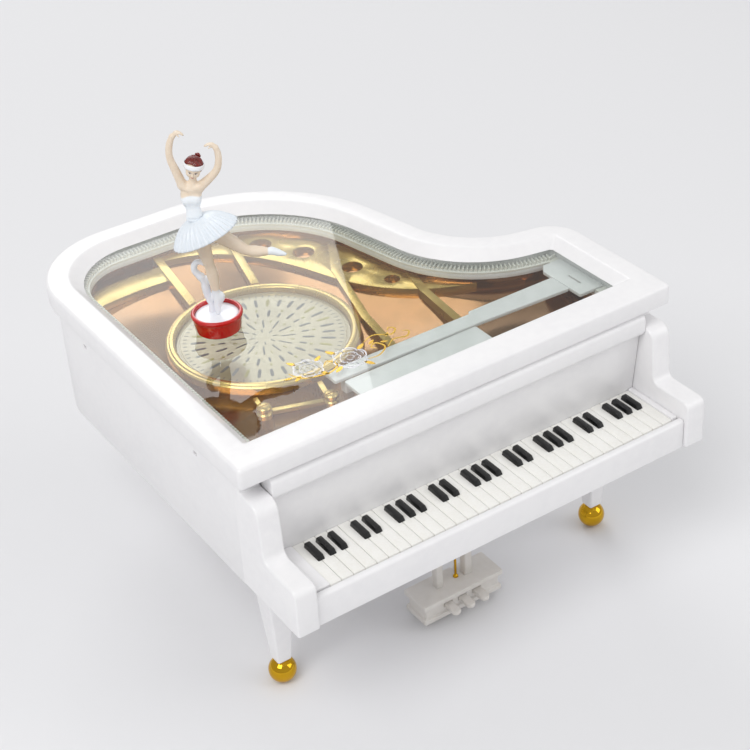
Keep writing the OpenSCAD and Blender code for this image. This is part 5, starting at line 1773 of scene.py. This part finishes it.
@dataclass
class Dancer:
    """The doll on her red stand: her own axes are X to her left hand, -Y where she faces."""

    turn: float = math.radians(-32.0)
    head_at: tuple[float, float, float] = (-1.6, -0.25, 54.7)
    nod: float = math.radians(21)
    lean: float = math.radians(12)
    stand_r: tuple[float, float] = (7.7, 8.8)
    pleats: int = 30

    def build(self) -> None:
        """Makes the stand, the doll, her dress, hair and face."""
        self.build_stand()
        self.build_body()
        self.build_head()
        self.build_skirt()
        self.build_prop()

    @property
    def place(self) -> Matrix:
        """From the dancer's millimetres to the frame."""
        x, y = PLAN.centre("puck_disc")
        at = Vector(PLAN.place((x, y, PLAN.level("puck_disc"))))
        return Matrix.Translation(at) @ Matrix.Rotation(self.turn, 4, "Z") @ Matrix.Scale(MM, 4)

    @property
    def head_place(self) -> Matrix:
        """From the head's millimetres to the frame."""
        tilt = Matrix.Rotation(self.lean, 4, "Y") @ Matrix.Rotation(self.nod, 4, "X")
        return self.place @ Matrix.Translation(Vector(self.head_at)) @ tilt

    def mesh(self, name: str, verts: Sequence[Point], faces: Sequence[Sequence[int]],
             place: Matrix, shade: Shade = Shade.SOFT) -> bpy.types.Object:
        """An object from points in the dancer's or the head's millimetres."""
        m = np.array(place)
        pts = np.array(verts, float) @ m[:3, :3].T + m[:3, 3]
        return mesh_object(name, pts, np.array(faces).tolist() if isinstance(faces, np.ndarray)
                           else faces, shade, in_frame=True)

    def sculpted(self, name: str, clay: Clay, place: Matrix,
                 paint: Callable[[np.ndarray], np.ndarray] | None = None) -> bpy.types.Object:
        """Skins clay and stores where paint covers it."""
        points, faces = clay.skin()
        obj = self.mesh(name, points, faces, place)
        if paint:
            back = np.array(place.inverted())
            co = np.zeros(len(obj.data.vertices) * 3)
            obj.data.vertices.foreach_get("co", co)
            local = co.reshape(-1, 3) @ back[:3, :3].T + back[:3, 3]
            mask = obj.data.attributes.new("paint", "FLOAT", "POINT")
            mask.data.foreach_set("value", paint(local).astype(np.float32))
        return obj

    def build_stand(self) -> None:
        """The red stand with its lip, and the domed white disc let into it."""
        centre = PLAN.centre("puck_disc")
        low, top = PLAN.level("puck_shell", False), PLAN.level("puck_shell")
        foot, wide = self.stand_r
        inner = wide - 1.3
        shell = round_profile(
            [(0.02, low), (foot - 0.5, low), (foot, low + 0.5), (wide - 0.35, top - 1.9),
             (wide, top - 1.1), (wide, top - 0.35), (wide - 0.5, top), (inner + 0.25, top),
             (inner, top - 0.4), (inner, top - 2.4), (0.02, top - 2.4)],
            [0.01, 0.3, 0.4, 0.8, 0.4, 0.35, 0.3, 0.25, 0.2, 0.1, 0.01])
        SHOP.deliver(turned("stand_shell", centre, shell, 128), Finishes.STAND, "dancer",
                     ["puck_shell"])
        disc_top, r = PLAN.level("puck_disc"), inner - 0.08
        disc = turned("stand_disc", centre, [
            (0, disc_top - 1.4), (r, disc_top - 1.4), (r, disc_top - 0.35),
            (r - 0.12, disc_top - 0.2), (r - 0.4, disc_top - 0.15), (r - 0.7, disc_top - 0.12),
            (r - 2, disc_top - 0.02), (2.5, disc_top), (0, disc_top)], 96)
        SHOP.deliver(disc, Finishes.STAND_WHITE, "dancer", ["puck_disc"])

    def build_body(self) -> None:
        """Legs, torso, neck, arms and hands as one skin, with painted bodice and shoes."""
        clay = Clay(0.2)
        clay.chain([(0.5, -0.5, 0.5, 0.75), (0.6, -0.1, 2.4, 1.15), (0.8, 0.1, 5.2, 1.35),
                    (0.7, 0.15, 8.0, 1.2), (0.5, 0.25, 10.5, 1.5), (0.1, 0.45, 14.6, 1.95),
                    (-0.5, 0.25, 18.4, 1.75), (-0.9, -0.05, 20.8, 1.95), (-1.6, 0, 25.5, 2.45),
                    (-2.3, 0, 31.5, 2.9)])
        clay.ball((2.1, 0.5, 6.0), (1.2, 1.05, 1.9), 1.0)
        clay.chain([(-0.6, 0.6, 31.2, 2.9), (3.4, 0.8, 29.4, 2.75), (7.3, 1.0, 26.4, 2.35),
                    (11.0, 1.1, 23.4, 1.85), (12.9, 1.15, 22.5, 1.75), (15.4, 1.25, 22.0, 1.9),
                    (18.6, 1.25, 21.7, 1.35), (20.6, 1.25, 21.6, 1.1)])
        clay.chain([(20.4, 1.25, 21.9, 1.25), (22.4, 1.2, 21.0, 1.2), (24.6, 1.15, 20.3, 0.6)],
                   0.6)
        clay.ball((-2.6, 0, 32.5), (3.9, 3.3, 3.4), 1.6)
        clay.ball((-3.3, 0.1, 37.6), (2.65, 2.0, 3.4), 1.6)
        clay.ball((-3.6, 0.15, 43.8), (3.35, 2.15, 4.3), 1.8)
        for x in (-5.1, -2.1):
            clay.ball((x, -1.3, 43.6), (1.25, 1.0, 1.2), 1.3)
        clay.chain([(-6.0, 0.3, 48.2, 1.35), (-0.8, 0.3, 47.2, 1.4)], 1.4)
        clay.ball((-3.4, 0.9, 45.6), (3.1, 1.5, 2.6), 1.2)
        clay.chain([(-3.1, 0.4, 47.4, 1.75), (-2.5, 0.2, 49.6, 1.25), (-2.0, 0.1, 52.4, 1.25)],
                   1.3)
        for side, x in ((1, -4.5), (-1, -2.1)):
            clay.chain([(x - 0.9 * side, -1.15, 47.8, 0.35), (x + 0.5 * side, -1.3, 47.3, 0.3)],
                       0.9)
        self.add_arm(clay, [(-6.0, 0.2, 49.0, 1.6), (-7.3, 0.1, 53.4, 1.4),
                            (-8.5, 0, 57.4, 1.22), (-8.75, -0.1, 60.2, 1.12),
                            (-8.2, -0.2, 63.4, 1.1), (-7.1, -0.35, 65.9, 0.86)],
                     (-5.6, -0.5, 67.2), (1.0, -0.1, -0.1))
        self.add_arm(clay, [(-0.6, 0.2, 47.4, 1.7), (2.6, 0.1, 50.0, 1.4),
                            (5.4, 0, 52.9, 1.2), (6.5, -0.1, 56.0, 1.12),
                            (6.6, -0.2, 59.2, 1.05), (6.1, -0.35, 61.2, 0.84)],
                     (5.0, -0.5, 62.3), (-1.0, -0.1, 0.2))
        obj = self.sculpted("doll_body", clay, self.place, self.body_paint)
        SHOP.deliver(obj, Finishes.SKIN, "dancer", ["dancer_body"])

    def add_arm(self, clay: Clay, joints: Sequence[tuple[float, float, float, float]],
                palm: Point, point: Point) -> None:
        """Adds an arm with a palm, four fingers and a thumb.

        Args:
            clay: the body.
            joints: shoulder to wrist, each with its radius.
            palm: the palm's middle.
            point: where the fingers point.
        """
        clay.chain(joints, 0.9)
        palm, ahead = np.array(palm), unit(np.array(point))
        wrist = joints[-1]
        clay.chain([wrist, (*palm, 0.62)], 0.5)
        clay.ball(palm, (0.95, 0.5, 0.68), 0.5)
        across = np.array([0, 1.0, 0])
        down = unit(np.cross(ahead, across))
        down = down if down[2] < 0 else -down
        for i, length in enumerate((1.5, 1.9, 1.8, 1.4)):
            root = palm + ahead * 0.5 + across * (i - 1.5) * 0.36 - down * 0.1
            mid = root + ahead * length * 0.5 + down * (0.05 + 0.06 * i)
            tip = mid + unit(ahead + 0.8 * down) * length * 0.5
            clay.chain([(*root, 0.4), (*mid, 0.36), (*tip, 0.26)], 0.2)
        root = palm + down * 0.4 - across * 0.35
        tip = root + unit(ahead + 0.7 * down - 0.4 * across) * 1.2
        clay.chain([(*root, 0.32), (*tip, 0.2)], 0.3)

    @staticmethod
    def body_paint(p: np.ndarray) -> np.ndarray:
        """Where the bodice and the shoes cover the skin, from 0 to 1."""
        def step(value: np.ndarray, low: float, high: float) -> np.ndarray:
            """A soft step from 0 at low to 1 at high."""
            t = np.clip((value - low) / (high - low), 0, 1)
            return t * t * (3 - 2 * t)

        x, z = p[:, 0], p[:, 2]
        neckline = 45.4 - 0.10 * (x + 3.5) ** 2
        bodice = step(z, neckline + 0.35, neckline - 0.35) * step(z, 29.5, 30.5)
        bodice *= step(np.abs(x + 3.5), 6.5, 6)
        shoe = step(z, 9.6, 8.9) + step(x, 18.9, 19.5) * (z < 26)
        return np.clip(bodice + shoe, 0, 1)

    def build_head(self) -> None:
        """The head with its face, and the hair and band that it wears."""
        clay = Clay(0.09)
        clay.ball((0, 0.35, 0.65), (2.72, 3.05, 2.85), 0.3)
        clay.ball((0, -0.75, -1.0), (2.12, 2.05, 2.65), 0.9)
        clay.ball((0, -1.75, -3.0), (0.85, 0.8, 0.65), 0.9)
        for side in (-1, 1):
            clay.ball((1.1 * side, -1.75, -1.15), (1.0, 0.95, 1.0), 0.7)
            clay.ball((0.98 * side, -3.15, -0.1), (0.72, 0.5, 0.42), 0.35, True)
            clay.ball((0.95 * side, -2.25, -0.12), (0.56, 0.42, 0.36), 0.12)
            clay.ball((2.65 * side, 0.4, -0.55), (0.3, 0.55, 0.8), 0.2)
            clay.chain([(0.35 * side, -2.75, 0.5, 0.22), (1.5 * side, -2.25, 0.5, 0.15)], 0.4)
            clay.ball((0.28 * side, -2.98, -1.12), (0.22, 0.24, 0.18), 0.15)
        clay.chain([(0, -2.6, 0.15, 0.28), (0, -3.2, -0.95, 0.3)], 0.45)
        clay.ball((0, -2.55, -1.78), (0.62, 0.36, 0.18), 0.12)
        clay.ball((0, -2.48, -2.12), (0.5, 0.38, 0.2), 0.12)
        clay.ball((0, -2.95, -1.94), (0.7, 0.25, 0.05), 0.08, True)
        head = self.sculpted("doll_head", clay, self.head_place, lambda p: np.zeros(len(p)))
        SHOP.deliver(head, Finishes.SKIN, "dancer")
        self.build_face(head)
        self.build_hair()

    def build_face(self, head: bpy.types.Object) -> None:
        """Eyes, brows and lips as thin paint laid on the head."""
        tree = BVHTree.FromPolygons([v.co for v in head.data.vertices],
                                    [p.vertices for p in head.data.polygons])
        dark, white, rose = [], [], []
        for side in (-1, 1):
            eye = (0.95 * side, -0.13)
            white.append(self.oval(eye, 0.5, 0.25, 0.0))
            dark.append(self.oval((eye[0], eye[1] - 0.01), 0.2, 0.22, 0.0, 0.03))
            dark.append(self.arc(eye, 0.56, 0.27, 20, 165 if side > 0 else 160, 0.055, 0.04))
            dark.append(self.arc((eye[0], eye[1] + 0.3), 0.62, 0.34, 25, 155, 0.05, 0.02))
        rose.append(self.oval((0, -1.8), 0.55, 0.13, 0.0))
        rose.append(self.oval((0, -2.1), 0.44, 0.14, 0.0))
        for name, lot, finish in (("doll_eye_whites", white, Finishes.BAND),
                                  ("doll_brows", dark, Finishes.FEATURE),
                                  ("doll_lips", rose, Finishes.LIP)):
            pieces = [self.laid_on(tree, *patch) for patch in lot]
            SHOP.deliver(joined_in_frame(name, pieces), finish, "dancer")

    @staticmethod
    def oval(at: Point, rx: float, rz: float, tilt: float, lift: float = 0.015
             ) -> tuple[list[list[Point]], float]:
        """Rings of a painted oval on the face, and how far it stands proud."""
        rings = []
        for share in (0.02, 0.35, 0.7, 1.0):
            rings.append([(at[0] + share * rx * math.cos(t), at[1] + share * rz * math.sin(t + tilt))
                          for t in np.linspace(0, math.tau, 28, endpoint=False)])
        return rings, lift

    @staticmethod
    def arc(at: Point, rx: float, rz: float, start: float, end: float, width: float,
            lift: float) -> tuple[list[list[Point]], float]:
        """Rings of a painted arc, thin at its ends."""
        turns = np.radians(np.linspace(start, end, 20))
        rings = [[], []]
        for i, t in enumerate(turns):
            w = width * (0.25 + 0.75 * math.sin(math.pi * i / 19))
            for ring, sign in zip(rings, (-1, 1)):
                ring.append((at[0] + (rx + sign * w) * math.cos(t),
                             at[1] + (rz + sign * w) * math.sin(t)))
        return rings, lift

    def laid_on(self, tree: BVHTree, rings: Sequence[Sequence[Point]], lift: float
                ) -> tuple[list[Point], list[list[int]]]:
        """Lays rings of face points on the head and gives them a thickness."""
        place = self.head_place
        toward = (place.to_3x3() @ Vector((0, 1, 0))).normalized()
        top, low = [], []
        for ring in rings:
            for x, z in ring:
                start = place @ Vector((x, -8, z))
                hit = tree.ray_cast(start, toward)[0] or start + toward * 5.2 * MM
                top.append(tuple(hit - toward * lift * MM))
                low.append(tuple(hit + toward * 0.05 * MM))
        n, count = len(rings[0]), len(rings)
        closed = count > 2
        faces = []
        for i in range(count - 1):
            for k in range(n if closed else n - 1):
                a, b = i * n + k, i * n + (k + 1) % n
                faces.append([a, b, b + n, a + n])
        size = len(top)
        faces += [[k + size for k in f[::-1]] for f in faces]
        loops = ([[list(range((count - 1) * n, count * n)), True],
                  [list(range(n)), True]] if closed
                 else [[list(range(n)) + list(range(2 * n - 1, n - 1, -1)), True]])
        for loop, _ in loops:
            faces += [[loop[k], loop[(k + 1) % len(loop)], loop[(k + 1) % len(loop)] + size,
                       loop[k] + size] for k in range(len(loop))]
        return top + low, faces

    def build_hair(self) -> None:
        """Combed hair with a bun and a fringe, and the broad band round it."""
        verts, rows, cols = [], 56, 144
        axis = unit(np.array([0.3, 0.95, 0.45]))
        side = unit(np.cross(axis, [0, 0, 1.0]))
        up = np.cross(side, axis)
        centre, size = np.array([0, 0.45, 0.62]), np.array([2.98, 3.3, 3.12])
        for i in range(rows + 1):
            reach = math.radians(4 + 112 * i / rows)
            for k in range(cols):
                t = k * math.tau / cols
                way = (math.cos(reach) * axis
                       + math.sin(reach) * (math.cos(t) * up + math.sin(t) * side))
                comb = 1 + 0.022 * math.sin(36 * t + 1.5 * math.sin(3 * reach)) * min(1, reach)
                edge = max(0.0, (i - rows + 5) / 5)
                verts.append(centre + size * way * (comb - 0.10 * edge))
        hair, faces = loft([verts[i * cols:(i + 1) * cols] for i in range(rows + 1)])
        cap = self.mesh("doll_hair", hair, faces, self.head_place)
        bun = self.coil(centre + size * axis * 1.06, axis, side, up)
        SHOP.deliver(merged("doll_hair", [cap, bun]), Finishes.HAIR, "dancer", ["hair"])
        rings = []
        tilt = math.radians(24)
        for t in np.linspace(0, math.tau, 72, endpoint=False):
            u = np.array([math.sin(t), -math.cos(t) * math.cos(tilt), math.cos(t) * math.sin(tilt)])
            n = np.array([0, math.sin(tilt), math.cos(tilt)])
            spine = centre + np.array([0, 0.1, 0.1]) + u * size * 1.055
            ring = []
            for w, h in ((0, -0.8), (0.16, -0.72), (0.24, -0.45), (0.27, 0), (0.24, 0.45),
                         (0.16, 0.72), (0, 0.8), (-0.15, 0.4), (-0.15, -0.4)):
                ring.append(spine + u * w + n * h)
            rings.append(ring)
        band = self.mesh("doll_headband", *loft(rings, closed=True), self.head_place)
        SHOP.deliver(band, Finishes.BAND, "dancer", ["headband"])

    def coil(self, at: np.ndarray, axis: np.ndarray, side: np.ndarray, up: np.ndarray
             ) -> bpy.types.Object:
        """The bun: a rope of hair wound inwards and outwards along its axis."""
        path, radii = [], []
        for i in range(90):
            t = i / 89
            a, r = 2.6 * math.tau * t, 0.8 * (1 - 0.8 * t)
            path.append(at + axis * (0.05 + 0.62 * t) + r * (math.cos(a) * side + math.sin(a) * up))
            radii.append(0.34 - 0.08 * t)
        return self.mesh("bun", *tube(path, radii, 12), self.head_place)

    def build_skirt(self) -> None:
        """The pleated skirt: a thin shell that flares from the waist to a scalloped hem."""
        waist, hem = np.array([-2.9, 0.1, 36.4]), np.array([-0.45, 0.1, 30.3])
        tilt_side, tilt_front = math.radians(22.7), math.radians(5)
        right = np.array([math.cos(tilt_side), 0, math.sin(tilt_side)])
        back = np.array([0, math.cos(tilt_front), -math.sin(tilt_front)])
        steps = self.pleats * 8
        rings = []
        for layer, rows in ((0.0, np.linspace(0, 1, 26)), (0.32, np.linspace(1, 0, 26))):
            for s in rows:
                flare = s ** 0.72
                ring = []
                for k in range(steps):
                    t = k * math.tau / steps
                    wave = math.cos(self.pleats * t + 0.6 * math.sin(2 * t))
                    wide = (2.7 + (11.6 - 2.7) * flare + 0.42 * s * wave - layer)
                    deep = (2.1 + (9.7 - 2.1) * flare + 0.42 * s * wave - layer)
                    mid = waist + (hem - waist) * s ** 1.5
                    drop = 0.25 * s ** 3 * (wave - 1) - 0.25 * layer * (1 - s)
                    ring.append(mid + right * wide * math.cos(t) + back * deep * math.sin(t)
                                + np.array([0, 0, drop]))
                rings.append(ring)
        skirt = self.mesh("doll_skirt", *loft(rings, closed=True), self.place)
        SHOP.deliver(skirt, Finishes.DRESS, "dancer", ["tutu"])
        belt = []
        for t in np.linspace(0, math.tau, 60, endpoint=False):
            out = np.array([math.cos(t), math.sin(t), 0])
            spine = np.array([-3.0, 0.05, 36.6]) + out * np.array([2.85, 2.3, 0])
            belt.append([spine + out * 0.22 * math.cos(a) + np.array([0, 0, 0.5 * math.sin(a)])
                         for a in np.linspace(0, math.tau, 12, endpoint=False)])
        obj = self.mesh("doll_sash", *loft(belt, closed=True), self.place)
        SHOP.deliver(obj, Finishes.DRESS, "dancer")

    def build_prop(self) -> None:
        """The white moulded curl that steadies the standing leg."""
        clay = Clay(0.16)
        clay.chain([(-1.5, 1.9, -0.1, 1.25), (-1.6, 1.9, 2.6, 1.05), (-2.4, 1.9, 5.6, 1.3),
                    (-2.8, 1.8, 9.0, 1.45), (-3.0, 1.7, 11.4, 1.3), (-4.0, 1.6, 13.6, 1.25)], 0.8)
        clay.chain([(-4.0, 1.6, 13.6, 1.25), (-5.6, 1.6, 15.6, 1.1), (-5.8, 1.6, 17.6, 1.1),
                    (-4.9, 1.6, 19.0, 1.0), (-3.6, 1.5, 19.2, 0.85), (-2.4, 1.2, 18.4, 0.6)], 0.6)
        clay.chain([(-1.0, 1.6, 4.5, 0.7), (-0.2, 1.3, 8.0, 0.7), (-0.9, 1.3, 11.5, 0.7),
                    (-2.0, 1.5, 13.2, 0.8)], 0.5)
        obj = self.sculpted("doll_prop", clay, self.place)
        SHOP.deliver(obj, Finishes.STAND_WHITE, "dancer", ["support_curl"])


def joined_in_frame(name: str, pieces: Sequence[tuple[list[Point], list[list[int]]]]
                    ) -> bpy.types.Object:
    """One object from several lots of frame points and faces."""
    verts: list[Point] = []
    faces: list[list[int]] = []
    for points, polygons in pieces:
        faces += [[k + len(verts) for k in f] for f in polygons]
        verts += points
    return mesh_object(name, verts, faces, Shade.SOFT, in_frame=True)


# ---------------------------------------------------------------- movement


@dataclass
class Movement:
    """Dresses the construction's own nodes, the movement's and the screws."""

    screws: tuple[str, ...] = ("base_screws", "leg_screws", "comb_screws", "movement_screws",
                               "winding_arbor", "spindle", "comb_block")
    brass: tuple[str, ...] = ("drum", "barrel", "top_bridge", "winding_key", "governor_wheel")

    def build(self) -> None:
        """Gives every node that is still shown its own finish."""
        lots = {Finishes.SCREW: self.screws, Finishes.BRASS: self.brass,
                Finishes.ZINC: ("bedplate", "bearing_plates"), Finishes.COMB: ("comb",),
                Finishes.SPRING: ("mainspring",), Finishes.FLY: ("governor_fly", "magnet_arm"),
                Finishes.MAGNET: ("drive_magnet", "puck_magnet"),
                Finishes.NYLON: ("planet_gear",)}
        for finish, nodes in lots.items():
            for node in nodes:
                self.dress(node, finish)

    def dress(self, node: str, finish: Finishes) -> None:
        """Puts a finish on a node's own mesh."""
        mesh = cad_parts[node].data
        mesh.materials.clear()
        mesh.materials.append(finish.material)
        log.info("%s wears %s", node, finish.value.name)


# ---------------------------------------------------------------- studio


@dataclass
class Studio:
    """A pale floor, soft lamps and the camera."""

    azimuth: float = math.radians(-32.01)
    height: float = math.radians(33.75)
    roll: float = math.radians(-3.75)
    at: tuple[float, float, float] = (-0.2574, -0.42475, 0.4010)
    lens: float = 79.92

    def build(self) -> None:
        """Makes the floor, the lamps, the world and the camera."""
        self.build_floor()
        self.build_lights()
        self.build_camera()
        bpy.context.scene.view_settings.view_transform = "Standard"

    def build_floor(self) -> None:
        """A plain pale floor."""
        made = bpy.data.materials.new("studio_floor")
        made.use_nodes = True
        shader = made.node_tree.nodes["Principled BSDF"]
        shader.inputs["Base Color"].default_value = srgb("#e4e4e6")
        shader.inputs["Roughness"].default_value = 0.9
        mesh = bpy.data.meshes.new("studio_floor")
        half = 3.0
        mesh.from_pydata([(-half, -half, 0), (half, -half, 0), (half, half, 0),
                          (-half, half, 0)], [], [(0, 1, 2, 3)])
        floor = bpy.data.objects.new("studio_floor", mesh)
        bpy.context.scene.collection.objects.link(floor)
        floor.data.materials.append(made)

    def lamp(self, name: str, at: Point, size: float, power: float) -> None:
        """A soft square lamp that faces the piano."""
        data = bpy.data.lights.new(name, "AREA")
        data.shape, data.size, data.energy = "SQUARE", size, power
        obj = bpy.data.objects.new(name, data)
        obj.location = at
        obj.rotation_euler = (Vector((0, 0, 0.07)) - Vector(at)).to_track_quat("-Z", "Y").to_euler()
        bpy.context.scene.collection.objects.link(obj)

    def build_lights(self) -> None:
        """A large key lamp from the upper left, a fill and an even world."""
        self.lamp("key_lamp", (-0.9, -0.5, 1.3), 0.9, 12)
        self.lamp("fill_lamp", (1.1, -0.9, 0.9), 1.0, 5)
        self.lamp("back_lamp", (0.3, 1.2, 1.0), 0.8, 5)
        world = bpy.data.worlds.new("studio_world")
        bpy.context.scene.world = world
        world.use_nodes = True
        ground = world.node_tree.nodes["Background"]
        ground.inputs["Color"].default_value = (1, 1, 1, 1)
        ground.inputs["Strength"].default_value = 0.55

    def build_camera(self) -> None:
        """The camera, with its small roll."""
        data = bpy.data.cameras.new("camera")
        data.lens, data.sensor_width = self.lens, 36
        data.clip_start, data.clip_end = 0.01, 20
        obj = bpy.data.objects.new("camera", data)
        level = math.cos(self.height)
        ahead = Vector((-math.sin(self.azimuth) * level, math.cos(self.azimuth) * level,
                        -math.sin(self.height)))
        right = Vector((math.cos(self.azimuth), math.sin(self.azimuth), 0))
        up = right.cross(ahead)
        side = right * math.cos(self.roll) + up * math.sin(self.roll)
        top = up * math.cos(self.roll) - right * math.sin(self.roll)
        turn = Matrix((side, top, -ahead)).transposed()
        obj.matrix_world = Matrix.Translation(self.at) @ turn.to_4x4()
        bpy.context.scene.collection.objects.link(obj)
        bpy.context.scene.camera = obj


def main() -> None:
    """Builds every sub-assembly in order."""
    logging.basicConfig(level=logging.INFO, format="%(name)s %(message)s")
    parts = [Lid(), Case(), Keyboard(), Leg("bass"), Leg("treble"), Leg("tail"), Lyre(), Dial(),
             CoverPrint(), Dancer(), Movement(), Studio()]
    for part in parts:
        log.info("building %s", type(part).__name__)
        part.build()
    log.info("%d pieces", len(SHOP.made))


if __name__ == "__main__":
    main()
